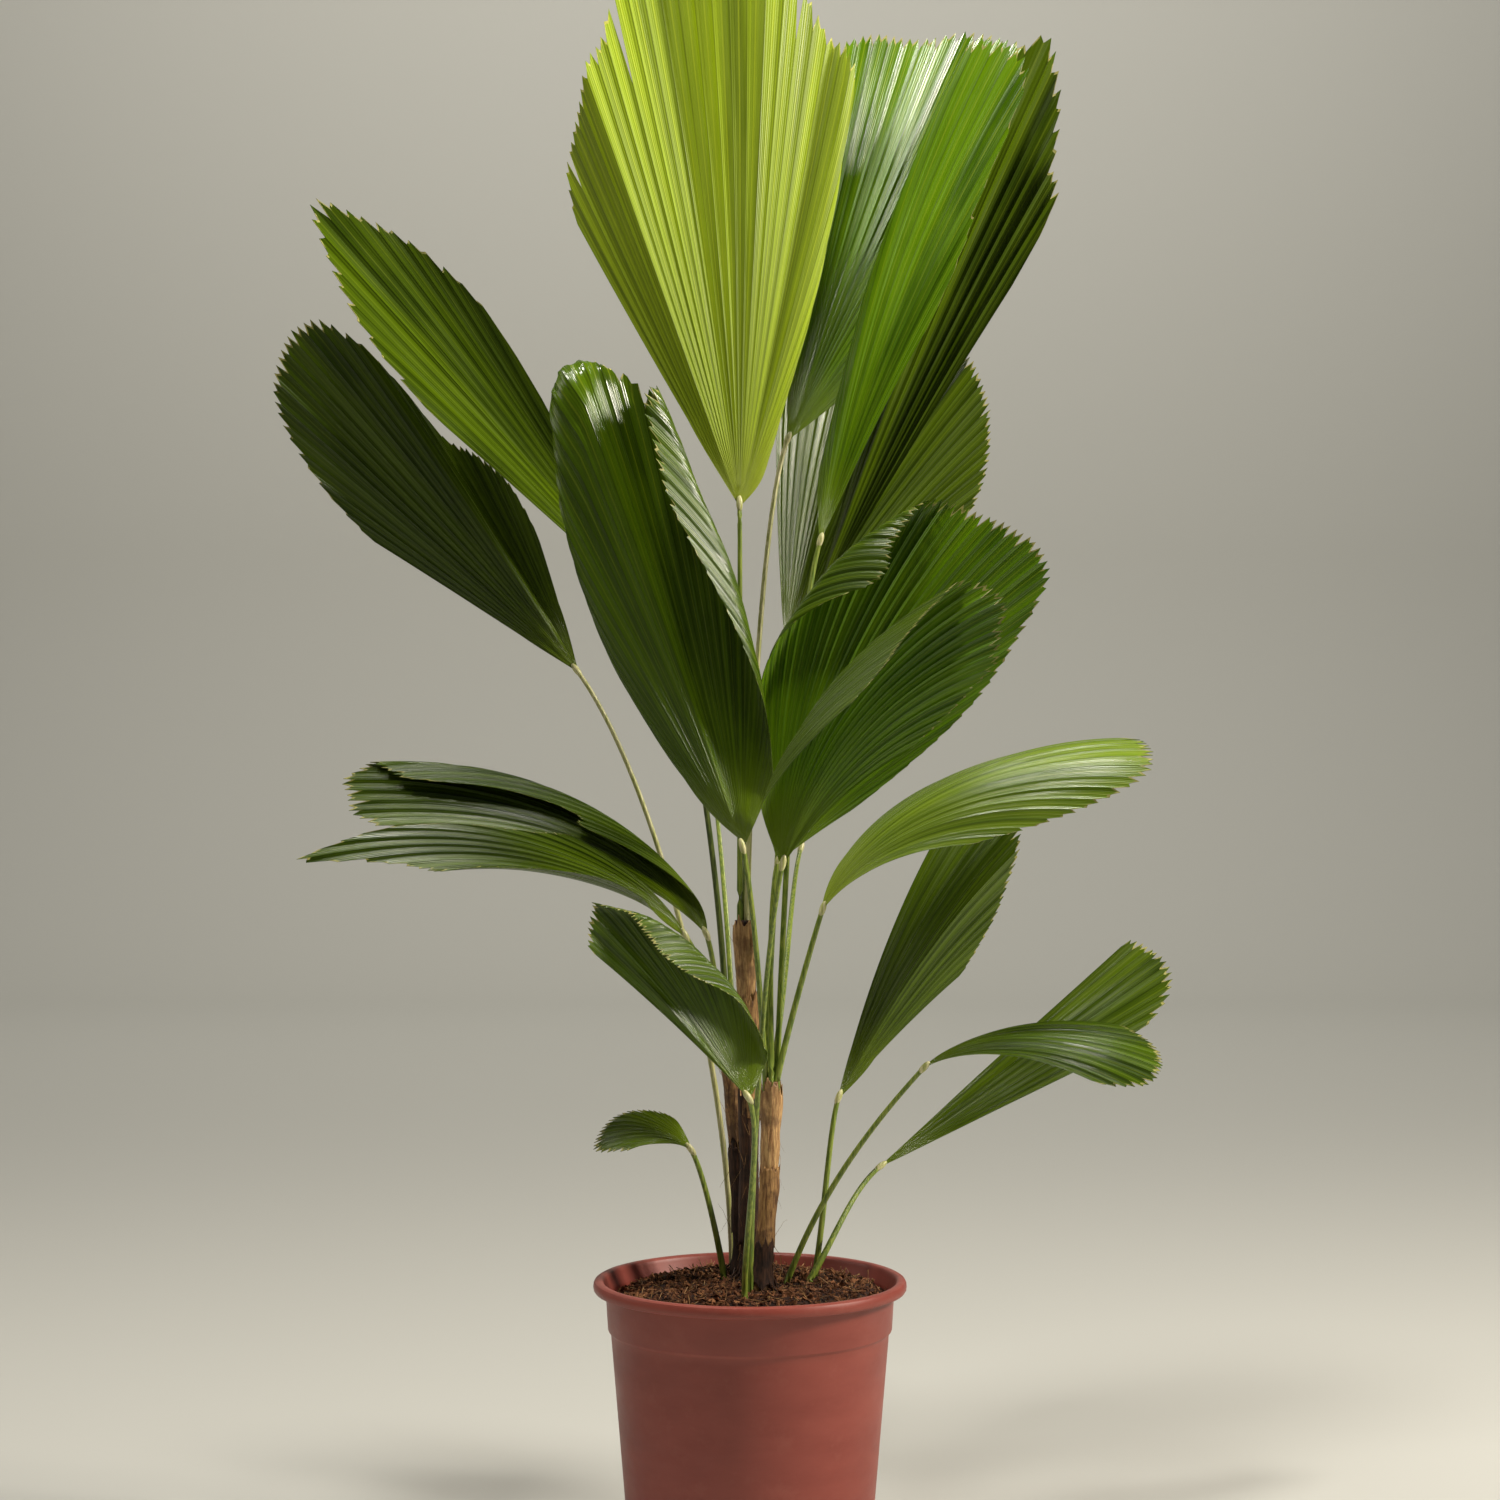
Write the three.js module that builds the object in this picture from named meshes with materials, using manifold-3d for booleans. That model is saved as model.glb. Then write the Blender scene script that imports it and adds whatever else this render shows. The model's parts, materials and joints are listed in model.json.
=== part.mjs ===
// Potted ruffled fan palm: a clump of three short stems and basal shoots in a nursery pot.
// Millimetres, +Z up, +X to the viewer's right, the viewer on the -Y side.
// The origin is the middle of the pot's flat underside.

import * as THREE from 'three';
import { mergeVertices } from 'three/addons/utils/BufferGeometryUtils.js';
import Module from 'manifold-3d';

const wasm = await Module();
wasm.setup();

// Driving dimensions
const clearance = 0.3;
const mergeGap = 1e-3;
const potHeight = 225;
const potRimRadius = 120;
const potRimDepth = 9;
const potRimEase = 2.2;
const potMouthRadius = 111.5;
const potCollarDepth = 38;
const potCollarRadius = 110.5;
const potCollarDraft = 1.8;
const potCollarStep = 2.4;
const potBodyRadius = 106.5;
const potBaseRadius = 91;
const potWall = 2.6;
const potFloor = 4;
const roundSteps = 36;
const drainHoles = 6;
const drainHoleRadius = 5;
const drainHoleRing = 62;
const drainHoleSides = 12;
const soilLevel = 222;
const soilEdgeLevel = 211;
const soilPlateauRadius = 72;
const soilShoulderRadius = 90;
const soilShoulderLevel = 218;
const soilEdgeEase = 0.6;
const stemSides = 10;
const stemRings = 9;
const stemBow = 2.5;
const stemRipple = 0.35;
const flareShare = 0.16;
const petioleRadius = 2.1;
const petioleTaper = 0.22;
const petioleSides = 7;
const petioleRings = 5;
const petioleRingsPerRadian = 4;
const hastulaLength = 8;
const bladeThicknessShare = 0.0105;
const pleatHeightShare = 0.006;
const toothShare = 0.05;
const toothAngle = 5.5;
const leastTeeth = 7;
const bladeRows = 4;
const bladeRowsPerRadian = 1.5;
const rowEase = 1.25;
const ribSteps = 40;
const foldSteps = 24;
const foldStart = 0.15;

const colors = { pot: 0xb0614d, soil: 0x33241c, stem: 0x6f5136, petiole: 0x7d8f3a };
const foliageColors = { fresh: 0x9db526, mature: 0x3f6212, glossy: 0x55771c };

// Each stem: where it stands, where its ragged crown is, its widths and the ring of petioles
const stems = {
  left: { foot: [-5, 45], top: [-17, 45, 407], flare: 10, radius: 6.6, crown: 7, ring: 4.7 },
  centre: { foot: [-1, 15], top: [-5, 10, 499], flare: 8.5, radius: 5.8, crown: 6.8, ring: 3.2 },
  right: { foot: [7, -27], top: [16, -25, 379], flare: 9.5, radius: 5.4, crown: 7.2, ring: 4.9 },
};

// Headings are [azimuth, elevation] in degrees: azimuth 0 is +X and 90 is +Y, away from the viewer.
// at: the hastula, where the petiole ends and the ribs meet
// start, end: heading of the middle rib at the hastula and at the tip; late: how late it bends
// roll: turn of the blade about its middle rib, 0 facing up
// spread: half angles of the fan, left and right; edge: share of the length at each outer rib
// fold: slope of the sheet at the left rib, half left, middle, half right and right rib
// open: share of that fold near the hastula; round: how full the tip is, left and right
// leave: heading of the petiole at its foot; rise, reach: how far each heading carries
const frondDefaults = { late: 1.3, round: [2.4, 2.4], open: 0.5, rise: 0.35, reach: 0.15, color: 'mature' };
const frondRows = [
  {
    stem: 'centre', slot: -150, leave: [90, 89], at: [-8, -5, 816],
    start: [100, 86], end: [110, 84], roll: -6, length: 455, spread: [27, 22], edge: [0.64, 0.58],
    fold: [60, 20, 0, -20, -60], open: 0.9, color: 'fresh',
  },
  {
    stem: 'centre', slot: -30, leave: [0, 89], at: [29, 70, 874],
    start: [38, 63], end: [42, 60], roll: 45, length: 395, spread: [20, 16], edge: [0.7, 0.82],
    fold: [-20, -10, 0, 10, 20],
  },
  {
    stem: 'right', slot: 30, leave: [70, 83], at: [54, 34, 791],
    start: [15, 72], end: [15, 58], roll: 70, length: 425, spread: [9, 12], edge: [0.95, 0.65],
    fold: [0, 0, 40, 90, 110], open: 0.9, color: 'glossy',
  },
  {
    stem: 'right', slot: 150, leave: [60, 85], at: [49, 92, 739],
    start: [8, 66], end: [8, 63], roll: 65, length: 485, spread: [6, 5], edge: [0.98, 0.76],
    fold: [-100, -90, 0, 20, 30], open: 0.9,
  },
  {
    stem: 'centre', slot: 90, leave: [90, 80], at: [29, 150, 712],
    start: [30, 67], end: [30, 58], roll: 50, length: 303, spread: [20, 29], edge: [0.75, 0.7],
    fold: [-50, -10, 0, 10, 20],
  },
  {
    stem: 'left', slot: 100, leave: [120, 85], at: [-73, 10, 736],
    start: [175, 51], end: [173, 49], roll: -50, length: 430, spread: [13, 11], edge: [0.66, 0.6],
    fold: [-20, -10, 0, 30, 100], round: [1.2, 1.2],
  },
  {
    foot: [-14, 62], leave: [170, 89], at: [-135, 60, 691], reach: 0.2,
    start: [175, 52], end: [175, 50], roll: -75, length: 350, spread: [16, 22], edge: [0.7, 0.55],
    fold: [-30, -40, 20, 40, 30], open: 0.7,
  },
  {
    stem: 'right', slot: -150, leave: [-120, 84], at: [-5, -70, 556],
    start: [180, 74], end: [175, 73], roll: -85, length: 382, spread: [21, 45], edge: [0.58, 0.8],
    fold: [50, 25, 0, 130, 200], open: 0.3, color: 'glossy', round: [1.5, 0.5],
  },
  {
    stem: 'right', slot: -90, leave: [-90, 88], at: [21, -5, 544],
    start: [-8, 63], end: [-8, 40], roll: 85, length: 314, spread: [47, 18], edge: [0.78, 0.65],
    fold: [-200, -155, 0, 20, 30], open: 0.3, color: 'glossy', round: [1.1, 2.4],
  },
  {
    foot: [0, -46], leave: [80, 85], at: [23, -137, 546],
    start: [-10, 63], end: [-10, 35], roll: 85, length: 259, spread: [46, 18], edge: [0.72, 0.66],
    fold: [-210, -140, 0, 20, 30], open: 0.3, color: 'glossy', round: [1.1, 2.4],
  },
  {
    stem: 'right', slot: -30, leave: [0, 78], at: [54, -40, 508], reach: 0.12,
    start: [-10, 72], end: [-15, -4], late: 0.58, roll: 50, length: 288, spread: [24, 13], edge: [0.75, 0.65],
    fold: [130, 85, 0, -85, -130], open: 0.1, round: [1.8, 1.8],
  },
  {
    foot: [50, 25], leave: [0, 80], at: [68, 30, 358],
    start: [20, 66], end: [20, 46], roll: 60, length: 275, spread: [9, 26], edge: [0.8, 0.75],
    fold: [-40, -20, 0, 70, 150], open: 0.2,
  },
  {
    stem: 'left', slot: 180, leave: [160, 85], at: [-33, 30, 485],
    start: [165, 63], end: [178, -7], late: 0.55, roll: -40, length: 325, spread: [9, 11], edge: [0.7, 0.7],
    fold: [-20, -10, 0, 80, 170],
  },
  {
    stem: 'left', slot: -100, leave: [250, 70], at: [-48, -20, 487],
    start: [190, 60], end: [185, -16], late: 0.5, roll: -50, length: 318, spread: [9, 7], edge: [0.7, 0.8],
    fold: [-90, -50, 0, 20, 30],
  },
  {
    foot: [-4, -62], leave: [-90, 85], at: [0, -110, 375],
    start: [190, 55], end: [190, 47], roll: -85, length: 190, spread: [8, 46], edge: [0.92, 0.84],
    fold: [-10, -10, 0, 140, 235], open: 0.1, color: 'glossy', round: [2.4, 1.1],
  },
  {
    foot: [-20, 22], leave: [180, 80], at: [-44, 0, 322],
    start: [200, 52], end: [190, -28], late: 0.6, roll: -32, length: 83, spread: [16, 55], edge: [0.7, 0.36],
    fold: [-20, 0, 0, 10, 20], round: [1.3, 1.3],
  },
  {
    foot: [46, 8], leave: [20, 55], at: [101, 60, 301], reach: 0.3,
    start: [25, 32], end: [25, 31], roll: 45, length: 308, spread: [5, 13], edge: [0.95, 0.7],
    fold: [-60, -20, 0, 10, 10],
  },
  {
    foot: [28, -4], leave: [0, 70], at: [130, -30, 388], reach: 0.35,
    start: [-20, 47], end: [-25, -22], late: 0.5, roll: 40, length: 192, spread: [14, 9], edge: [0.8, 0.8],
    fold: [20, 10, 0, -10, -20], color: 'glossy',
  },
  {
    stem: 'left', slot: 40, leave: [100, 80], at: [-28, 120, 590],
    start: [110, 68], end: [116, 54], roll: 0, length: 350, spread: [12, 11], edge: [0.7, 0.7],
    fold: [40, 20, 0, -20, -40],
  },
  {
    stem: 'right', slot: 90, leave: [60, 70], at: [41, 150, 548],
    start: [60, 58], end: [48, 32], roll: 10, length: 300, spread: [13, 13], edge: [0.7, 0.7],
    fold: [40, 20, 0, -20, -40],
  },
];
const fronds = frondRows.map((row) => ({ ...frondDefaults, ...row }));

const plant = new THREE.Group();

function addMesh(name, geometry, color, roughness) {
  const mesh = new THREE.Mesh(geometry, new THREE.MeshStandardMaterial({ color, roughness, metalness: 0 }));
  mesh.name = name;
  plant.add(mesh);
}

function radians(degrees) {
  return THREE.MathUtils.degToRad(degrees);
}

function heading(azimuth, elevation) {
  const flat = Math.cos(radians(elevation));
  const x = Math.cos(radians(azimuth)) * flat;
  const y = Math.sin(radians(azimuth)) * flat;
  return new THREE.Vector3(x, y, Math.sin(radians(elevation)));
}

// The unit direction square to an axis and nearest to a given direction
function squareTo(direction, axis) {
  return direction.clone().addScaledVector(axis, -direction.dot(axis)).normalize();
}

// A closed geometry with every vertex moved by a function of its old place
function reshape(geometry, place) {
  geometry.deleteAttribute('normal');
  geometry.deleteAttribute('uv');
  const position = geometry.getAttribute('position');
  for (let i = 0; i < position.count; i++) {
    const point = place(position.getX(i), position.getY(i), position.getZ(i));
    position.setXYZ(i, point.x, point.y, point.z);
  }
  return mergeVertices(geometry, mergeGap);
}

// Pot: a tapered tub with a taller straight collar and a rolled rim, open at the top

function lathed(profile) {
  const points = profile.map(([radius, height]) => new THREE.Vector2(radius, height));
  const geometry = new THREE.LatheGeometry(points, roundSteps);
  geometry.deleteAttribute('normal');
  geometry.deleteAttribute('uv');
  geometry.rotateX(Math.PI / 2);
  return mergeVertices(geometry, mergeGap);
}

function toSolid(geometry) {
  const vertProperties = new Float32Array(geometry.getAttribute('position').array);
  const triVerts = new Uint32Array(geometry.getIndex().array);
  return new wasm.Manifold(new wasm.Mesh({ numProp: 3, vertProperties, triVerts }));
}

function toGeometry(solid) {
  const mesh = solid.getMesh();
  const geometry = new THREE.BufferGeometry();
  geometry.setAttribute('position', new THREE.BufferAttribute(mesh.vertProperties, 3));
  geometry.setIndex(new THREE.BufferAttribute(mesh.triVerts, 1));
  return geometry;
}

const collarFoot = potHeight - potCollarDepth;
const rimFoot = potHeight - potRimDepth;
const rimMiddle = potHeight - potRimDepth / 2;
const collarFootRadius = potCollarRadius - potCollarDraft;
const shoulderLevel = collarFoot - potCollarStep;

function makePot() {
  const tub = lathed([
    [0, 0],
    [potBaseRadius, 0],
    [potBodyRadius, shoulderLevel],
    [collarFootRadius, collarFoot],
    [potCollarRadius, rimFoot],
    [potRimRadius - potRimEase, rimFoot],
    [potRimRadius, rimFoot + potRimEase],
    [potRimRadius, rimMiddle + potRimEase],
    [potRimRadius - potRimEase, potHeight],
    [potMouthRadius + potRimEase, potHeight],
    [potMouthRadius, rimMiddle],
    [potCollarRadius - potWall, rimFoot - potWall],
    [collarFootRadius - potWall, collarFoot + potWall],
    [potBodyRadius - potWall, shoulderLevel - potWall],
    [potBaseRadius - potWall, potFloor],
    [0, potFloor],
  ]);
  let solid = toSolid(tub);
  for (let i = 0; i < drainHoles; i++) {
    const angle = (2 * Math.PI * i) / drainHoles;
    const depth = 4 * potFloor;
    const drill = new THREE.CylinderGeometry(drainHoleRadius, drainHoleRadius, depth, drainHoleSides);
    drill.deleteAttribute('normal');
    drill.deleteAttribute('uv');
    drill.rotateX(Math.PI / 2);
    drill.translate(drainHoleRing * Math.cos(angle), drainHoleRing * Math.sin(angle), 0);
    solid = solid.subtract(toSolid(mergeVertices(drill, mergeGap)));
  }
  addMesh('pot', toGeometry(solid), colors.pot, 0.5);
}

// Soil: fills the pot, level where the stems stand and a little lower at the wall
function makeSoil() {
  const wall = potWall + clearance;
  addMesh('soil', lathed([
    [0, potFloor + clearance],
    [potBaseRadius - wall, potFloor + clearance],
    [potBodyRadius - wall, shoulderLevel - potWall],
    [collarFootRadius - wall, collarFoot + potWall],
    [potCollarRadius - wall - soilEdgeEase, soilEdgeLevel],
    [soilShoulderRadius, soilShoulderLevel],
    [soilPlateauRadius, soilLevel],
    [0, soilLevel],
  ]), colors.soil, 0.95);
}

// A leaning or curved rod: level rings at both ends where asked, square to the path between
function rod(path, radiusAt, sides, rings) {
  const shape = new THREE.CylinderGeometry(1, 1, 1, sides, rings);
  return reshape(shape, (x, y, z) => {
    const share = y + 0.5;
    const { point, along } = path(share);
    const across = squareTo(new THREE.Vector3(1, 0, 0), along);
    const other = new THREE.Vector3().crossVectors(across, along);
    const radius = radiusAt(share);
    return point.clone().addScaledVector(across, x * radius).addScaledVector(other, z * radius);
  });
}

const up = new THREE.Vector3(0, 0, 1);

// Stems: a slight sweep from the foot to the crown, flared at the soil
function makeStem(name) {
  const stem = stems[name];
  const foot = new THREE.Vector3(...stem.foot, soilLevel + clearance);
  const top = new THREE.Vector3(...stem.top);
  const path = (share) => {
    const point = foot.clone().lerp(top, share);
    const bow = Math.sin(Math.PI * share) * stemBow;
    return { point: point.add(new THREE.Vector3(bow, 0, 0)), along: up };
  };
  const radiusAt = (share) => {
    const flare = (stem.flare - stem.radius) * Math.exp(-share / flareShare);
    const crown = (stem.crown - stem.radius) * share ** 3;
    const ripple = stemRipple * Math.cos(share * stemRings * Math.PI);
    return stem.radius + flare + crown + ripple;
  };
  addMesh(`stem_${name}`, rod(path, radiusAt, stemSides, stemRings), colors.stem, 0.85);
}

// Where a petiole stands: on its stem's crown, or on the soil
function petioleFoot(frond) {
  if (!frond.stem) {
    return new THREE.Vector3(...frond.foot, soilLevel + clearance);
  }
  const stem = stems[frond.stem];
  const aside = heading(frond.slot, 0).multiplyScalar(stem.ring);
  return new THREE.Vector3(...stem.top).add(aside).addScaledVector(up, clearance);
}

// Petiole: one curve from its foot to just under the blade's first section
function makePetiole(frond, name) {
  const foot = petioleFoot(frond);
  const hastula = new THREE.Vector3(...frond.at);
  const span = foot.distanceTo(hastula);
  const blade = heading(...frond.start);
  const end = hastula.clone().addScaledVector(blade, hastulaLength - clearance);
  const curve = new THREE.CubicBezierCurve3(
    foot,
    foot.clone().addScaledVector(heading(...frond.leave), span * frond.rise),
    end.clone().addScaledVector(blade, -span * frond.reach),
    end,
  );
  const path = (share) => {
    const along = share < 0.01 ? up : curve.getTangent(share);
    return { point: curve.getPoint(share), along };
  };
  const radiusAt = (share) => petioleRadius * (1 - petioleTaper * share);
  const bend = heading(...frond.leave).angleTo(blade);
  const rings = petioleRings + Math.round(bend * petioleRingsPerRadian);
  addMesh(name, rod(path, radiusAt, petioleSides, rings), colors.petiole, 0.5);
}

// Middle rib of a blade: points and frames in equal steps from the hastula to the tip
function middleRib(frond) {
  const [startAzimuth, startElevation] = frond.start;
  const [endAzimuth, endElevation] = frond.end;
  const point = new THREE.Vector3(...frond.at);
  let along = heading(startAzimuth, startElevation);
  let facing = squareTo(up, along).applyAxisAngle(along, radians(frond.roll));
  const frames = [{ point: point.clone(), along, facing }];
  for (let i = 1; i <= ribSteps; i++) {
    const bent = (i / ribSteps) ** frond.late;
    const azimuth = THREE.MathUtils.lerp(startAzimuth, endAzimuth, bent);
    const next = heading(azimuth, THREE.MathUtils.lerp(startElevation, endElevation, bent));
    const turn = new THREE.Quaternion().setFromUnitVectors(along, next);
    facing = squareTo(facing.clone().applyQuaternion(turn), next);
    point.addScaledVector(along.clone().add(next), frond.length / ribSteps / 2);
    along = next;
    frames.push({ point: point.clone(), along, facing });
  }
  return frames;
}

function frameAt(frames, share) {
  const place = THREE.MathUtils.clamp(share, 0, 1) * ribSteps;
  const index = Math.min(Math.floor(place), ribSteps - 1);
  const before = frames[index];
  const after = frames[index + 1];
  const mix = place - index;
  const point = before.point.clone().lerp(after.point, mix);
  const along = before.along.clone().lerp(after.along, mix).normalize();
  const facing = squareTo(before.facing.clone().lerp(after.facing, mix), along);
  return { point, facing, across: new THREE.Vector3().crossVectors(along, facing) };
}

// u runs from -1 at the left outer rib to 1 at the right one
function ribAngle(frond, u) {
  return radians(u * (u < 0 ? frond.spread[0] : frond.spread[1]));
}

function ribShare(frond, u) {
  const side = u < 0 ? 0 : 1;
  const cut = (1 - frond.edge[side]) * Math.abs(u) ** frond.round[side];
  return (1 - cut) * Math.cos(ribAngle(frond, u));
}

function foldAngle(frond, u) {
  const place = THREE.MathUtils.clamp((u + 1) * 2, 0, 3.999);
  const index = Math.floor(place);
  return radians(THREE.MathUtils.lerp(frond.fold[index], frond.fold[index + 1], place - index));
}

// Cross-section at a share of the length: the strip from the middle rib out to u, folded
function foldedStrip(frond, u, share) {
  const open = Math.min(1, share / foldStart) * (frond.open + (1 - frond.open) * share);
  let across = 0;
  let height = 0;
  let before = 0;
  for (let i = 1; i <= foldSteps; i++) {
    const after = Math.tan(ribAngle(frond, (u * i) / foldSteps));
    const slope = foldAngle(frond, (u * (i - 0.5)) / foldSteps) * open;
    across += Math.cos(slope) * (after - before);
    height += Math.sin(slope) * (after - before);
    before = after;
  }
  return { across, height, slope: foldAngle(frond, u) * open };
}

// Blade: a pleated fan of one thickness, its far edge notched between the leaflets' ribs
function makeBlade(frond, name) {
  const frames = middleRib(frond);
  const teeth = Math.max(leastTeeth, Math.round((frond.spread[0] + frond.spread[1]) / toothAngle));
  const columns = 2 * teeth;
  const bend = heading(...frond.start).angleTo(heading(...frond.end));
  const rows = bladeRows + Math.round(bend * bladeRowsPerRadian);
  const thickness = frond.length * bladeThicknessShare;
  const firstShare = hastulaLength / frond.length;
  const shape = new THREE.BoxGeometry(2, 1, 1, columns, rows, 1);
  const geometry = reshape(shape, (u, y, side) => {
    const column = Math.round(((u + 1) / 2) * columns);
    const notch = column % 2 === 0 ? toothShare : 0;
    const reach = ribShare(frond, u) - notch;
    const share = firstShare + (reach - firstShare) * (y + 0.5) ** rowEase;
    const { point, facing, across } = frameAt(frames, share);
    const strip = foldedStrip(frond, u, share);
    const pleat = (column % 2 === 0 ? -1 : 1) * pleatHeightShare * frond.length * share;
    const lift = side * thickness + pleat;
    const offAcross = strip.across * share * frond.length - Math.sin(strip.slope) * lift;
    const offFacing = strip.height * share * frond.length + Math.cos(strip.slope) * lift;
    return point.clone().addScaledVector(across, offAcross).addScaledVector(facing, offFacing);
  });
  addMesh(name, geometry, foliageColors[frond.color], 0.35);
}

makePot();
makeSoil();
Object.keys(stems).forEach(makeStem);
fronds.forEach((frond, i) => {
  const number = String(i + 1).padStart(2, '0');
  makePetiole(frond, `petiole_${number}`);
  makeBlade(frond, `blade_${number}`);
});

export default plant;
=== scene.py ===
# Potted ruffled fan palm: leaves, petioles, stems, soil and pot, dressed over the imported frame.

import json
import math
import random

import bpy
import numpy as np
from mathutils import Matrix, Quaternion, Vector, noise

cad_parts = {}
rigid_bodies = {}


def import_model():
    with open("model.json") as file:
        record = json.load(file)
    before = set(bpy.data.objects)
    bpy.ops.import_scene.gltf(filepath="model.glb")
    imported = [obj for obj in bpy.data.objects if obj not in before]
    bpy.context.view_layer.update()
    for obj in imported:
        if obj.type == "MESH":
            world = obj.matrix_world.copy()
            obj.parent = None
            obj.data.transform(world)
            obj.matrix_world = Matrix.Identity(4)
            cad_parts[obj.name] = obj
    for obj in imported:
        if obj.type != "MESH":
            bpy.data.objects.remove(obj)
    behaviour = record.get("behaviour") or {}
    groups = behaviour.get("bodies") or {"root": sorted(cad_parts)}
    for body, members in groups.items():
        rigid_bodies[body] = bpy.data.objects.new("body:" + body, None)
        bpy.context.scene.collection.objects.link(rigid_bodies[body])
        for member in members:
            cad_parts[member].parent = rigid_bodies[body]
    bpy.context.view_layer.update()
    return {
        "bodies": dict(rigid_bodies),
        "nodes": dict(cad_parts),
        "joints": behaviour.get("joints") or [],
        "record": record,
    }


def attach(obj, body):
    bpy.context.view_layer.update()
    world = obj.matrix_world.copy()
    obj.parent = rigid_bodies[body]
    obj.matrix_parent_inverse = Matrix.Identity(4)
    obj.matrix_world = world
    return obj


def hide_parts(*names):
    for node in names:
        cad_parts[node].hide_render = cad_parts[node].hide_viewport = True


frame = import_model()
mm = 0.001
up = Vector((0, 0, 1))
finishes = {}  # every material by its name


# Small tools


def toLinear(hexColor):
    channels = [int(hexColor[i:i + 2], 16) / 255 for i in (1, 3, 5)]
    return [c / 12.92 if c <= 0.04045 else ((c + 0.055) / 1.055) ** 2.4 for c in channels] + [1]


def setInputs(tree, node, inputs):
    # links what comes from another node, turns hex colours linear and sets the rest
    for name, value in inputs.items():
        if isinstance(value, bpy.types.NodeSocket):
            tree.links.new(value, node.inputs[name])
        else:
            node.inputs[name].default_value = toLinear(value) if isinstance(value, str) else value


def addNode(tree, kind, settings=None, inputs=None):
    node = tree.nodes.new(kind)
    for name, value in (settings or {}).items():
        setattr(node, name, value)
    setInputs(tree, node, inputs or {})
    return node


def newMaterial(name):
    material = bpy.data.materials.new(name)
    material.use_nodes = True
    finishes[name] = material
    return material.node_tree, material.node_tree.nodes["Principled BSDF"]


def deselectAll():
    for item in bpy.context.selected_objects:
        item.select_set(False)


def activate(piece):
    deselectAll()
    piece.select_set(True)
    bpy.context.view_layer.objects.active = piece


def enterEdit(action="SELECT"):
    bpy.ops.object.mode_set(mode="EDIT")
    bpy.ops.mesh.select_all(action=action)


def leaveEdit():
    bpy.ops.object.mode_set(mode="OBJECT")


def editOnly(piece, parts, chosen):
    # edit mode with only the chosen faces (polygons) or edges selected
    enterEdit("DESELECT")
    leaveEdit()
    for part in getattr(piece.data, parts):
        part.select = chosen(part)
    bpy.ops.object.mode_set(mode="EDIT")


def addObject(name, data):
    piece = bpy.data.objects.new(name, data)
    bpy.context.scene.collection.objects.link(piece)
    return piece


def meshFromCurve(name, curve):
    activate(addObject(name, curve))
    bpy.ops.object.convert(target="MESH")
    return bpy.context.object


def meshFromArrays(name, vertices, faces):
    mesh = bpy.data.meshes.new(name)
    mesh.from_pydata([tuple(v) for v in vertices], [], [tuple(int(i) for i in f) for f in faces])
    return addObject(name, mesh)


def smooth(piece):
    piece.data.polygons.foreach_set("use_smooth", [True] * len(piece.data.polygons))


def paint(piece, *names):
    for name in names:
        piece.data.materials.append(finishes[name])


def place(piece, slot, *nodes):
    if nodes:
        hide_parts(*nodes)
    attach(piece, "root")


# Materials


def layTone(tree, color, tone, pattern, low, high):
    # lays a tone over a colour; low and high are (value of the pattern, share of the tone)
    share = addNode(tree, "ShaderNodeMapRange", inputs={
        "Value": pattern, "From Min": low[0], "From Max": high[0], "To Min": low[1], "To Max": high[1]})
    mix = addNode(tree, "ShaderNodeMix", {"data_type": "RGBA"},
                  {0: share.outputs[0], 6: color, 7: tone})
    return mix.outputs[2]


def surfaceGrain(tree, size, detail, roughness=0.5, stretch=(1, 1, 1)):
    # soft noise in the piece's own space, with grains size mm wide
    space = addNode(tree, "ShaderNodeTexCoord").outputs["Object"]
    stretched = addNode(tree, "ShaderNodeMapping", inputs={"Vector": space, "Scale": stretch})
    grain = addNode(tree, "ShaderNodeTexNoise", inputs={
        "Vector": stretched.outputs[0], "Scale": 1 / (size * mm), "Detail": detail, "Roughness": roughness})
    return grain.outputs["Fac"]


def coverShader(tree, shader, color, roughness, height, strength, depth):
    # colour, roughness and a fine relief of depth mm
    bump = addNode(tree, "ShaderNodeBump", inputs={
        "Height": height, "Strength": strength, "Distance": depth * mm})
    setInputs(tree, shader, {"Base Color": color, "Roughness": roughness, "Normal": bump.outputs[0]})


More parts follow.
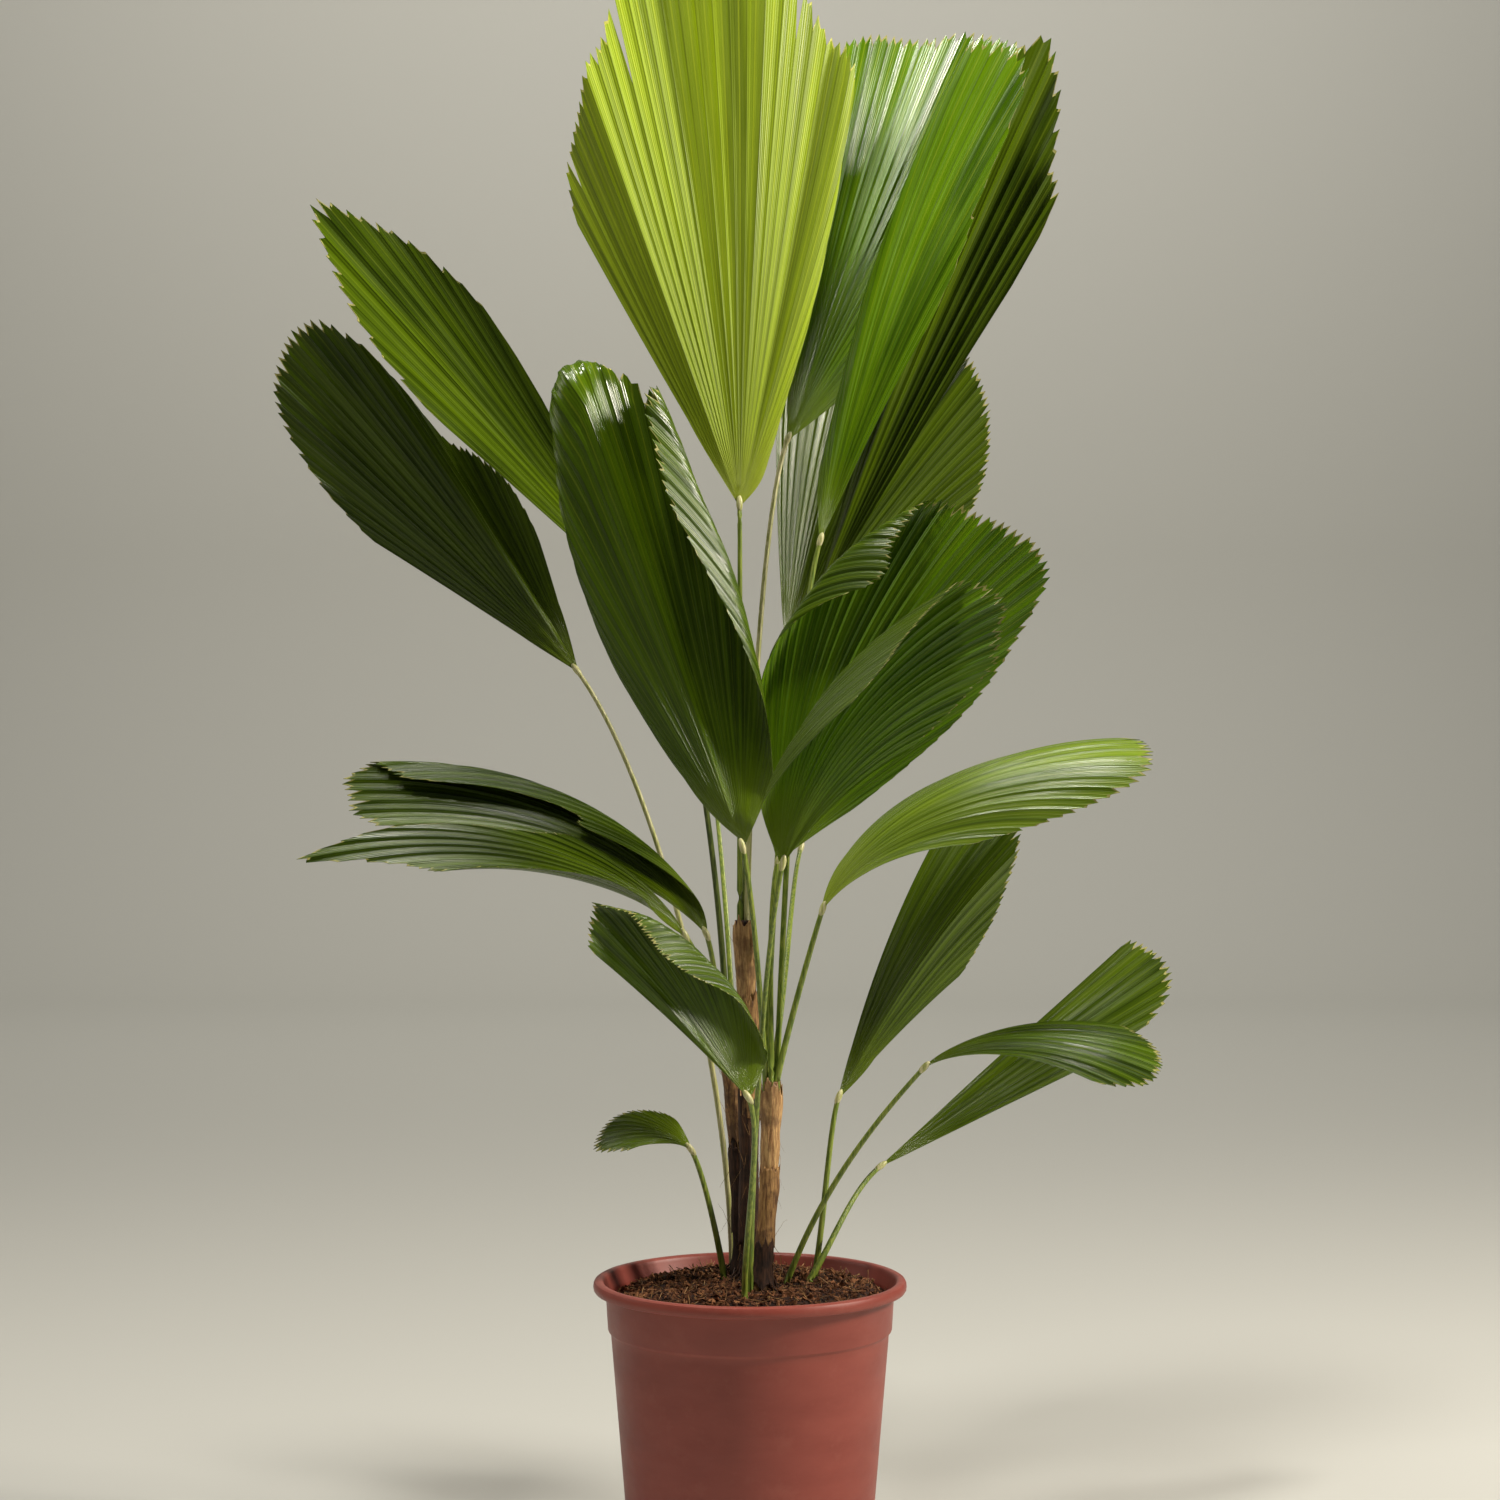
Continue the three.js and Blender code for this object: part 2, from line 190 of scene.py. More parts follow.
leafVeins = 7  # fine veins in one tooth's width
leafPatterns = {  # how dense across a tooth and along 100 mm, scale, detail, roughness
    "streaks": ((1.2, 0.4), 1.6, 3, 0.55),
    "clouds": ((0.16, 0.9), 1.5, 2, 0.5),
    "tones": ((0.55, 0.1), 1.7, 1, 0.5),
}
leafFinishes = {  # tones: dark, light, patch, valley (painted shade in the pleat valleys), rib (painted highlight lines on the ribs), heart; share of the rib highlight, bump, least roughness
    "leafFresh": (("#6c8003", "#9cb406", "#859904", "#475502", "#bccd1e", "#8d9a0c"), 0.6, 0.5, 0.42),
    "leafMature": (("#2a3b02", "#485d03", "#506504", "#151f02", "#76871a", "#63770e"), 0.35, 0.45, 0.15),
    "leafGlossy": (("#3a5a02", "#608604", "#6c9106", "#1e3202", "#94a624", "#7a9210"), 0.4, 0.45, 0.15),
    # a darker copy of leafGlossy: painted shade for leaves 8, 15 and 18
    "leafGlossyPaintedShade": (("#304404", "#4f6a05", "#5a7606", "#1a2802", "#8a9a22", "#6f8612"), 0.4, 0.45, 0.15),
    # a paler leaf finish: painted sheen over the whole of leaf 11
    "leafPaintedSheen": (("#4f6810", "#76901e", "#82992c", "#35480a", "#aeb85c", "#8a9a30"), 0.4, 0.3, 0.14),
    # the leaves' underside, darkened to paint the shade on the wings turned over towards the viewer
    "leafUnderWithPaintedShade": (("#2f4406", "#4b6209", "#556d0c", "#213004", "#7f9026", "#6a7f14"), 0.45, 0.4, 0.17),
    "leafFreshUnder": (("#6a7c05", "#90a40a", "#7d9007", "#485303", "#bec83a", "#8a9614"), 0.5, 0.5, 0.38),
}


def waxedLeaf(name, tones, ribShare, strength, polish):
    # living leaf, waxy cuticle over parallel veins: glossy streaks along the ribs, with painted shade in
    # the pleat valleys and painted highlight lines on the ribs
    tree, shader = newMaterial(name)
    uv = addNode(tree, "ShaderNodeUVMap", {"uv_map": "ribs"}).outputs["UV"]
    split = addNode(tree, "ShaderNodeSeparateXYZ", inputs={"Vector": uv})
    fold = addNode(tree, "ShaderNodeMath", {"operation": "PINGPONG"},
                   {0: split.outputs["X"], 1: 0.5}).outputs[0]
    veins = addNode(tree, "ShaderNodeTexWave", {"bands_direction": "X"}, {
        "Vector": uv, "Scale": leafVeins * math.pi / 10, "Distortion": 0.3, "Detail": 1,
        "Detail Scale": 0.5})
    patterns = {}
    for kind, (dense, scale, detail, roughness) in leafPatterns.items():
        drawn = addNode(tree, "ShaderNodeMapping", inputs={"Vector": uv, "Scale": (*dense, 1)})
        patterns[kind] = addNode(tree, "ShaderNodeTexNoise", inputs={
            "Vector": drawn.outputs[0], "Scale": scale, "Detail": detail,
            "Roughness": roughness}).outputs["Fac"]
    dark, light, patch, paintedValleyShade, paintedRibHighlight, heart = tones
    color = dark
    # the valley tone is painted shade in the pleat valleys, the rib tone painted highlight lines on the
    # ribs
    for tone, pattern, low, high in (
            (light, patterns["tones"], (0.36, 0), (0.64, 1)),
            (light, patterns["streaks"], (0.35, 0), (0.7, 0.55)),
            (patch, patterns["clouds"], (0.45, 0), (0.75, 0.45)),
            (paintedValleyShade, fold, (0, 0.5), (0.08, 0)),
            (paintedRibHighlight, fold, (0.43, 0), (0.5, ribShare)),
            (heart, split.outputs["Y"], (0.1, 0.75), (0.75, 0))):
        color = layTone(tree, color, tone, pattern, low, high)
    height = addNode(tree, "ShaderNodeMath", {"operation": "MULTIPLY_ADD"}, {
        0: veins.outputs["Fac"], 1: 0.6, 2: patterns["streaks"]}).outputs[0]
    gloss = addNode(tree, "ShaderNodeMapRange", inputs={
        "Value": patterns["streaks"], "From Min": 0.35, "From Max": 0.7,
        "To Min": polish, "To Max": polish + 0.2}).outputs[0]
    coverShader(tree, shader, color, gloss, height, strength, 0.5)
    setInputs(tree, shader, {"IOR": 1.42})


def dryTip(name, straw, brown):
    # sun-dried leaf tip: straw brown, matt, shrunk along the veins
    tree, shader = newMaterial(name)
    color = layTone(tree, straw, brown, surfaceGrain(tree, 3.85, 2), (0.35, 0), (0.65, 1))
    setInputs(tree, shader, {"Base Color": color, "Roughness": 0.6})


def freshPetiole(name, pale, green):
    # leaf stalk: smooth green skin with paler lengthwise lines
    tree, shader = newMaterial(name)
    lines = surfaceGrain(tree, 1.43, 2, stretch=(1, 1, 0.06))
    color = layTone(tree, green, pale, lines, (0.38, 0), (0.62, 1))
    color = layTone(tree, color, "#5a5a2a", surfaceGrain(tree, 2.38, 3), (0.62, 0), (0.75, 0.5))
    coverShader(tree, shader, color, 0.36, lines, 0.25, 0.2)


def fibreSheath(name, dark, light, blot, blotShare, rough):
    # old leaf-base fibre wrapped round the cane: coarse lengthwise threads, matt
    tree, shader = newMaterial(name)
    threads = surfaceGrain(tree, 1.61, 4, 0.6, (1, 1, 0.12))
    color = layTone(tree, dark, light, threads, (0.36, 0), (0.64, 1))
    color = layTone(tree, color, blot, surfaceGrain(tree, 18.2, 4, 0.65), (0.48, 0), (0.6, blotShare))
    coverShader(tree, shader, color, rough, threads, 0.8, 0.7)


def pottingMix(name, dark, light, fleck):
    # coir and composted bark: dull crumbs from black-brown to rust
    tree, shader = newMaterial(name)
    crumbs = surfaceGrain(tree, 4.35, 5, 0.7)
    space = addNode(tree, "ShaderNodeTexCoord").outputs["Object"]
    flecks = addNode(tree, "ShaderNodeTexVoronoi", inputs={"Vector": space, "Scale": 1 / (3.33 * mm)})
    color = layTone(tree, dark, light, crumbs, (0.38, 0), (0.62, 1))
    color = layTone(tree, color, fleck, flecks.outputs["Color"], (0.6, 0), (0.8, 0.55))
    coverShader(tree, shader, color, 0.92, crumbs, 0.9, 1.2)
    setInputs(tree, shader, {"Specular IOR Level": 0.25})


def mouldedPlastic(name, base, shade, dust):
    # polypropylene, injection moulded: satin, faint flow lines, chalky dust in smears
    tree, shader = newMaterial(name)
    flow = surfaceGrain(tree, 71.4, 4, 0.6, (1, 1, 3))
    smears = surfaceGrain(tree, 26.3, 5, 0.7)
    color = layTone(tree, shade, base, flow, (0.3, 0), (0.7, 1))
    color = layTone(tree, color, dust, smears, (0.55, 0), (0.8, 0.3))
    rough = addNode(tree, "ShaderNodeMapRange", inputs={
        "Value": smears, "From Min": 0.3, "From Max": 0.7, "To Min": 0.38, "To Max": 0.52}).outputs[0]
    coverShader(tree, shader, color, rough, surfaceGrain(tree, 1.11, 2), 0.12, 0.15)
    setInputs(tree, shader, {"IOR": 1.49})


for finishName, finishSettings in leafFinishes.items():
    waxedLeaf(finishName, *finishSettings)
dryTip("leafTip", "#a9a45a", "#7d7a35")
dryTip("leafTipFresh", "#d3d36a", "#b3b23c")
freshPetiole("petioleGreen", "#8c9a3c", "#5d7424")
# pale finish of the hastula knobs, and a painted highlight along the stalks of leaves 2 and 7
freshPetiole("petiolePaleAndPaintedHighlight", "#d6d0a0", "#a9ad62")
freshPetiole("petioleDark", "#5e6a2a", "#3a4a18")
fibreSheath("fibreGolden", "#6b4522", "#b98f56", "#4a2d18", 0.75, 0.62)
fibreSheath("fibreDark", "#2a1a12", "#5a3b28", "#1c120d", 0.7, 0.8)
fibreSheath("fibreTan", "#8a6136", "#d2a970", "#5b3a20", 0.55, 0.55)
pottingMix("mixBed", "#140c08", "#33201a", "#4a2e20")
pottingMix("mixCrumb", "#22140d", "#5b3825", "#7a4e33")
pottingMix("mixBark", "#3d2416", "#8a5a3a", "#a87850")
mouldedPlastic("potPlastic", "#94463a", "#85392e", "#a9695a")
print("stage: materials")


# Pot: turned from a disc by extruding ring after ring, then drilled

pot = {
    "steps": 128,
    "profile": [  # radius and height in mm: up the outside, over the rim and down the inside
        (89.6, 0), (90.6, 0.4), (91, 1.4), (92.2, 14), (93.2, 26), (106.1, 179), (106.5, 184.2),
        (107.2, 185.6), (108.4, 186.6), (108.8, 187.6), (110.4, 213.5), (110.8, 215.2), (112, 216),
        (117.4, 216), (118.9, 216.6), (119.8, 218), (120, 219.8), (119.8, 222.2), (118.9, 224),
        (117.2, 225), (114.4, 225), (112.9, 224.4), (112, 223.2), (111.6, 221.4), (108.4, 214),
        (107.9, 212.2), (106.1, 189.6), (104.6, 184.4), (103.9, 181.8), (88.4, 5.2), (87.4, 4)],
    "drainHoles": 6,
    "drainHoleRadius": 5,
    "drainHoleRing": 62,  # radius of the circle they lie on
    "drainHoleSteps": 32,
    "drillDepth": 20,
    "smoothAngle": 32,
}


def buildPot():
    deselectAll()
    before, level = pot["profile"][0]
    bpy.ops.mesh.primitive_circle_add(vertices=pot["steps"], radius=before * mm, fill_type="NGON",
                                      location=(0, 0, 0))
    piece = bpy.context.object
    piece.name = "pot_shell"
    enterEdit()
    for radius, height in pot["profile"][1:]:
        bpy.ops.mesh.extrude_region_move(TRANSFORM_OT_translate={"value": (0, 0, (height - level) * mm)})
        share = radius / before
        bpy.ops.transform.resize(value=(share, share, 1), center_override=(0, 0, height * mm))
        before, level = radius, height
    bpy.ops.mesh.select_all(action="SELECT")
    bpy.ops.mesh.normals_make_consistent(inside=False)
    leaveEdit()
    ring = pot["drainHoleRing"] * mm
    for i in range(pot["drainHoles"]):
        angle = 2 * math.pi * i / pot["drainHoles"]
        deselectAll()
        bpy.ops.mesh.primitive_cylinder_add(
            vertices=pot["drainHoleSteps"], radius=pot["drainHoleRadius"] * mm,
            depth=pot["drillDepth"] * mm, location=(ring * math.cos(angle), ring * math.sin(angle), 0))
        drill = bpy.context.object
        activate(piece)
        cut = piece.modifiers.new("drill", "BOOLEAN")
        cut.operation = "DIFFERENCE"
        cut.object = drill
        bpy.ops.object.modifier_apply(modifier=cut.name)
        bpy.data.objects.remove(drill)
    piece.data.materials.clear()
    paint(piece, "potPlastic")
    activate(piece)
    bpy.ops.object.shade_smooth_by_angle(angle=math.radians(pot["smoothAngle"]))
    place(piece, "pot_shell", "pot")


buildPot()
print("stage: pot")


# Soil: a level plug with a mounded, crumbly top, in mm

soil = {
    "steps": 120,
    "rings": 46,
    "foot": 5,
    "depth": 200,
    "level": 221,
    "edgeLevel": 211.5,
    "edgeFall": 1.5,        # how late it falls off towards the wall
    "highest": 222.8,
    "plateau": 74,
    "wallRadius": 107.3,
    "footRadius": 88,
    "swell": (1.6, 34),     # height and width of the broad swells
    "lumps": (1.44, 11),    # height and width of the lumps
    "leftFall": 3.2,
    "bitsRadius": 104,
}
soilBits = [  # piece, how many, seed, shape, spans of its half sizes in mm, how far sunk, finish
    ("soil_crumbs", 3600, 11, "ball", [(0.7, 2.4), (0.6, 1.8), (0.5, 1.4)], 0.8, "mixCrumb"),
    ("soil_bark", 900, 12, "block", [(1.4, 4.2), (0.7, 2.0), (0.25, 0.7)], 1.0, "mixBark"),
    ("soil_fibres", 420, 13, "block", [(3.0, 9.0), (0.14, 0.3), (0.12, 0.25)], 1.2, "fibreGolden"),
]


def soilHeight(x, y):
    radius = math.hypot(x, y)
    share = min(1, max(0, (radius - soil["plateau"]) / (soil["wallRadius"] - soil["plateau"])))
    level = soil["level"] - (soil["level"] - soil["edgeLevel"]) * share ** soil["edgeFall"]
    swell, swellWidth = soil["swell"]
    lump, lumpWidth = soil["lumps"]
    level += swell * noise.noise(Vector((x / swellWidth, y / swellWidth, 3.1)))
    level -= soil["leftFall"] * max(0, -x / 110) ** 1.5
    level += lump * noise.fractal(Vector((x, y, 0)) / lumpWidth, 0.8, 2.2, 5)
    return min(level, soil["highest"])


def buildSoilBed():
    deselectAll()
    depth = soil["depth"] * mm
    bpy.ops.mesh.primitive_cylinder_add(vertices=soil["steps"], radius=soil["wallRadius"] * mm,
                                        depth=depth, location=(0, 0, depth / 2 + soil["foot"] * mm))
    piece = bpy.context.object
    piece.name = "soil_bed"
    bpy.ops.object.transform_apply(location=True, rotation=True, scale=True)
    editOnly(piece, "polygons", lambda face: face.normal.z > 0.9)
    for i in range(soil["rings"]):
        bpy.ops.mesh.inset(thickness=soil["wallRadius"] * mm / (soil["rings"] + 0.5))
    bpy.ops.mesh.poke()
    leaveEdit()
    for vertex in piece.data.vertices:
        if vertex.co.z > depth / 2:
            vertex.co.z = soilHeight(vertex.co.x / mm, vertex.co.y / mm) * mm
        else:
            vertex.co.xy *= soil["footRadius"] / soil["wallRadius"]
    smooth(piece)
    paint(piece, "mixBed")
    place(piece, "potting_mix", "soil")


def randomTurn(draw):
    axis = Vector((draw.uniform(-1, 1), draw.uniform(-1, 1), draw.uniform(-1, 1)))
    return Quaternion(axis.normalized(), draw.uniform(0, 2 * math.pi))


def bitShape(kind):
    deselectAll()
    if kind == "ball":
        bpy.ops.mesh.primitive_ico_sphere_add(subdivisions=1, radius=1)
    else:
        bpy.ops.mesh.primitive_cube_add(size=2)
    bit = bpy.context.object
    corners = [vertex.co.copy() for vertex in bit.data.vertices]
    faces = [list(face.vertices) for face in bit.data.polygons]
    bpy.data.objects.remove(bit)
    return corners, faces


def scatterBits(name, count, seed, kind, sizes, sink, finish):
    # many small bits in one mesh, each a turned and stretched copy of one shape
    corners, faces = bitShape(kind)
    draw = random.Random(seed)
    vertices, allFaces = [], []
    for i in range(count):
        radius = soil["bitsRadius"] * math.sqrt(draw.uniform(0.0004, 1))
        angle = draw.uniform(0, 2 * math.pi)
        x, y = radius * math.cos(angle), radius * math.sin(angle)
        turn = randomTurn(draw)
        size = [draw.uniform(*span) for span in sizes]
        centre = Vector((x, y, soilHeight(x, y) + sink * draw.uniform(-0.6, 1)))
        start = len(vertices)
        for corner in corners:
            shaped = Vector(c * s * draw.uniform(0.75, 1.2) for c, s in zip(corner, size))
            vertices.append((centre + turn @ shaped) * mm)
        allFaces += [[start + i for i in face] for face in faces]
    piece = meshFromArrays(name, vertices, allFaces)
    paint(piece, finish)
    place(piece, "potting_mix")


buildSoilBed()
for bits in soilBits:
    scatterBits(*bits)
print("stage: soil")


# Fronds: the rows of the part's source, in mm; headings are (azimuth, elevation) in degrees
# stem and slot, or foot: where the petiole stands; leave: its heading there; rise and reach: the
# shares of its length that it keeps to its headings; stalk: its finish
# at: the hastula; start, end: headings of the middle rib; late: how late it bends; roll: its turn
# spread: half angles of the fan; length: of the middle rib
# edge: share of the length at its outer ribs; round: how full; margin: instead, (rib, share) stations
# fold: slope of the sheet at the ribs foldAt; open: share of that fold near the hastula
# rolls: arcs the sheet is bent over at, as start, end, bulge and radius in shares of the length, angle
# pleat: its depth; splits: extra depth of a notch in tooth widths; leaf: slot; finish: if another one

frondDefaults = {"late": 1.3, "round": (2.4, 2.4), "open": 0.5, "rise": 0.35, "reach": 0.15,
                 "leaf": "leafMature", "stalk": "petioleGreen", "pleat": 0.09, "splits": {},
                 "foldAt": (-1, -0.5, 0, 0.5, 1), "fold": (0, 0, 0, 0, 0), "rolls": ()}
frondRows = [
    {"stem": "centre", "slot": -150, "leave": (90, 89), "at": (-8, -5, 816),
     "start": (100, 86), "end": (110, 84), "roll": -6, "length": 455, "leaf": "leafFresh",
     "spread": (31, 45), "splits": {-7: 4, -14: 2, 4: 2}, "pleat": 0.08,
     "foldAt": (-1, -0.66, -0.6, -0.27, -0.23, 0.07, 0.11, 0.28, 0.31, 0.37, 0.4, 1),
     "fold": (58, 55, -20, -20, 18, 18, -22, -22, 30, 30, -15, -15),
     "margin": ((-1, 0.52), (-0.93, 0.585), (-0.79, 0.66), (-0.66, 0.725), (-0.6, 0.77), (-0.53, 0.8),
                (-0.46, 0.86), (-0.4, 0.9), (-0.22, 0.96), (0, 1.0), (0.11, 0.96), (0.22, 0.875),
                (0.28, 0.82), (0.33, 0.8), (0.44, 0.7), (0.62, 0.5), (0.8, 0.33), (1, 0.2)),
     "rolls": (((0.012, 0.04), (0.2, 0.8), 0.024, 0.025, -150),)},
    {"stem": "centre", "slot": -30, "leave": (0, 89), "at": (29, 70, 874),
     "start": (38, 63), "end": (42, 60), "roll": 45, "length": 395, "stalk": "petiolePaleAndPaintedHighlight",
     "spread": (20, 30), "leaf": "leafGlossy", "open": 0.9, "fold": (-22, -20, -4, 5, 8),
     "margin": ((-1, 0.75), (-0.59, 0.91), (-0.16, 0.98), (0.15, 1.04), (0.28, 1.02), (0.37, 0.9),
                (0.42, 0.76), (0.49, 0.65), (0.7, 0.5), (0.92, 0.32), (1, 0.25))},
    {"stem": "right", "slot": 30, "leave": (70, 83), "at": (54, 34, 791),
     "start": (15, 72), "end": (15, 58), "roll": 70, "length": 425, "leaf": "leafGlossy", "pleat": 0.065,
     "spread": (20, 8), "open": 1, "fold": (0, 0, 0, 20, 30),
     "margin": ((-1, 0.9), (-0.55, 0.95), (-0.39, 0.98), (-0.2, 1.01), (-0.03, 1.01), (0.28, 0.88),
                (0.4, 0.77), (0.8, 0.58), (1, 0.45)),
     "rolls": (((-0.1, 0.97), (-0.03, 0.2), 0.002, 0.02, -150),)},
    {"stem": "right", "slot": 150, "leave": (60, 85), "at": (49, 92, 739),
     "start": (8, 66), "end": (8, 63), "roll": 65, "length": 485,
     "spread": (9, 7), "open": 0.9, "foldAt": (-1, -0.46, -0.42, -0.14, -0.1, 1),
     "fold": (10, 10, -50, -50, -12, -12),
     "margin": ((-1, 0.8), (-0.6, 1.0), (-0.3, 1.04), (-0.05, 1.0), (0.21, 0.94), (0.53, 0.85),
                (0.94, 0.73), (1, 0.66))},
    {"stem": "centre", "slot": 90, "leave": (90, 80), "at": (29, 150, 712),
     "start": (30, 67), "end": (30, 58), "roll": 50, "length": 303,
     "spread": (25, 31), "edge": (0.75, 0.7), "open": 0.9, "stalk": "petioleDark",
     "foldAt": (-1, -0.4, -0.34, 0.3, 0.36, 1), "fold": (-25, -25, 12, 12, -38, -30)},
    {"stem": "left", "slot": 100, "leave": (120, 85), "at": (-73, 10, 736),
     "start": (175, 51), "end": (173, 49), "roll": -50, "length": 430, "stalk": "petioleDark",
     "spread": (13, 12), "fold": (-20, -10, 0, 30, 80),
     "margin": ((-1, 0.5), (-0.88, 0.6), (-0.62, 0.74), (-0.28, 0.88), (0, 0.98), (0.25, 0.92),
                (0.54, 0.82), (0.74, 0.72), (0.91, 0.6), (1, 0.45))},
    {"foot": (-14, 62), "leave": (170, 89), "at": (-135, 60, 691), "reach": 0.2,
     "start": (175, 52), "end": (175, 50), "roll": -75, "length": 350, "stalk": "petiolePaleAndPaintedHighlight",
     "spread": (20, 24), "open": 0.7, "foldAt": (-1, 0.2, 0.24, 0.42, 0.46, 1),
     "fold": (35, 35, -50, -50, 40, 40),
     "margin": ((-1, 0.55), (-0.8, 0.75), (-0.56, 0.92), (-0.3, 1.0), (0, 1.02), (0.1, 1.0), (0.2, 0.92),
                (0.3, 0.8), (0.44, 0.62), (0.6, 0.55), (0.9, 0.4), (1, 0.3))},
    {"stem": "right", "slot": -150, "leave": (-120, 84), "at": (-5, -70, 556),
     "start": (180, 74), "end": (175, 73), "roll": -85, "length": 382, "leaf": "leafGlossy",
     "finish": "leafGlossyPaintedShade", "pleat": 0.055, "spread": (40, 40), "open": 1,
     "foldAt": (-1, -0.5, -0.12, -0.08, 0.04, 0.08, 0.25, 0.3, 1),
     "fold": (5, 14, 16, -34, -34, 10, 10, 0, 0),
     "margin": ((-1, 0.2), (-0.8, 0.45), (-0.6, 0.78), (-0.4, 0.98), (-0.25, 1.05), (-0.1, 1.06), (0, 1.03),
                (0.06, 0.97), (0.1, 0.92), (0.14, 0.91), (0.2, 0.92), (0.32, 0.83), (0.47, 0.69),
                (0.55, 0.56), (0.62, 0.44), (0.78, 0.23), (1, 0.12)),
     "rolls": (((-0.015, 0.99), (-0.003, 0.105), 0.121, 0.045, -140),
               ((0.1, 0.94), (-0.12, 0.955), 0.012, 0.04, -130),
               ((0.056, 0.07), (0.051, 0.882), 0.045, 0.03, 150))},
    {"stem": "right", "slot": -90, "leave": (-90, 88), "at": (21, -5, 544),
     "start": (-8, 67.8), "end": (-8, 45.7), "late": 1, "roll": 85, "length": 312,
     "spread": (38, 30), "open": 1, "leaf": "leafGlossy",
     "foldAt": (-1, 0, 0.3, 1), "fold": (0, 0, -6, -14),
     "margin": ((-1, 0.18), (-0.9, 0.36), (-0.82, 0.47), (-0.78, 0.58), (-0.74, 0.7), (-0.68, 0.78),
                (-0.48, 0.86), (-0.32, 0.92), (-0.06, 0.99), (0.09, 1.02), (0.26, 1.02), (0.37, 0.975),
                (0.42, 0.92), (0.53, 0.8), (0.7, 0.62), (1, 0.2)),
     "rolls": (((-0.142, 0.885), (-0.089, 0.1), 0.11, 0.025, 155),)},
    {"foot": (0, -46), "leave": (80, 85), "at": (23, -137, 546),
     "start": (-10, 75.8), "end": (-10, 23.7), "late": 1, "roll": 85, "length": 259,
     "spread": (39.9, 19.5), "open": 1, "leaf": "leafGlossy",
     "foldAt": (-1, 0, 0.3, 1), "fold": (0, 0, -8, -14),
     "margin": ((-1, 0.365), (-0.98, 0.467), (-0.93, 0.547), (-0.86, 0.611), (-0.77, 0.658),
                (-0.68, 0.695), (-0.57, 0.74), (-0.46, 0.787), (-0.34, 0.842), (-0.22, 0.894),
                (-0.08, 0.976), (0, 1.0), (0.18, 0.965), (0.31, 0.935), (0.49, 0.89), (0.64, 0.775),
                (0.85, 0.62), (1, 0.5)),
     "rolls": (((-0.076, 1.1), (-0.083, 0.05), 0.002, 0.022, 116),)},
    {"stem": "right", "slot": -30, "leave": (0, 78), "at": (54, -40, 508), "reach": 0.12,
     "start": (-10, 72), "end": (-15, -4), "late": 0.58, "roll": 50, "length": 288, "pleat": 0.05,
     "finish": "leafPaintedSheen", "spread": (24, 17), "edge": (0.75, 0.5), "round": (1.8, 1.5), "open": 0.1,
     "fold": (120, 70, 0, -30, -50)},
    {"foot": (50, 25), "leave": (0, 80), "at": (68, 30, 358),
     "start": (20, 66), "end": (20, 46), "roll": 60, "length": 275,
     "spread": (9, 23), "edge": (0.8, 0.55), "round": (2.4, 1.5), "open": 1,
     "foldAt": (-1, 0.3, 0.34, 1), "fold": (25, 25, -50, -50)},
    {"stem": "left", "slot": 180, "leave": (160, 85), "at": (-33, 30, 485),
     "start": (165, 63), "end": (178, -7), "late": 0.55, "roll": -40, "length": 325,
     "spread": (12, 30), "open": 1, "fold": (-30, -15, 0, 0, 0),
     "margin": ((-1, 0.8), (-0.35, 0.89), (0.02, 0.97), (0.12, 0.98), (0.21, 0.99), (0.27, 0.96),
                (0.46, 0.87), (0.56, 0.8), (0.62, 0.685), (0.66, 0.55), (0.94, 0.32), (1, 0.2)),
     "rolls": (((0.01, 0.05), (0.133, 0.813), 0.017, 0.012, 170),)},
    {"stem": "left", "slot": -100, "leave": (250, 70), "at": (-48, -20, 487),
     "start": (190, 60), "end": (185, -16), "late": 0.5, "roll": -50, "length": 318,
     "spread": (26, 14), "open": 1, "fold": (-60, -60, -60, 0, 20), "foldAt": (-1, -0.5, -0.3, -0.1, 1),
     "margin": ((-1, 0.25), (-0.68, 0.38), (-0.5, 0.5), (-0.3, 0.62), (-0.09, 0.73), (0.04, 0.89),
                (0.15, 0.98), (0.28, 0.9), (0.48, 0.73), (0.6, 0.55), (1, 0.35))},
    {"foot": (-4, -62), "leave": (-90, 85), "at": (0, -110, 375),
     "start": (190, 55), "end": (190, 47), "roll": -85, "length": 190,
     "spread": (9, 60), "open": 1, "leaf": "leafGlossy", "finish": "leafGlossyPaintedShade", "pleat": 0.055,
     "margin": ((-1, 0.86), (-0.5, 0.93), (-0.07, 0.975), (0.04, 0.99), (0.12, 0.9), (0.2, 0.86),
                (0.395, 0.716), (0.53, 0.525), (0.6, 0.37), (0.71, 0.25), (0.905, 0.15), (1, 0.12)),
     "rolls": (((0.115, 0.08), (0.034, 0.873), 0.09, 0.03, 150),)},
    {"foot": (-20, 22), "leave": (180, 80), "at": (-44, 0, 322),
     "start": (200, 52), "end": (190, -28), "late": 0.6, "roll": -32, "length": 83,
     "spread": (16, 55), "edge": (0.7, 0.36), "round": (1.3, 1.3), "toothAngle": 5,
     "fold": (-20, 0, 0, 10, 20)},
    {"foot": (46, 8), "leave": (20, 55), "at": (101, 60, 301), "reach": 0.3,
     "start": (25, 32), "end": (25, 31), "roll": 45, "length": 308,
     "spread": (5, 13), "edge": (0.95, 0.7), "fold": (-60, -20, 0, 10, 10)},
    {"foot": (28, -4), "leave": (0, 70), "at": (130, -30, 388), "reach": 0.35,
     "start": (-20, 47), "end": (-25, -22), "late": 0.5, "roll": 40, "length": 192,
     "spread": (14, 9), "edge": (0.8, 0.8), "leaf": "leafGlossy", "finish": "leafGlossyPaintedShade",
     "fold": (20, 10, 0, -10, -20)},
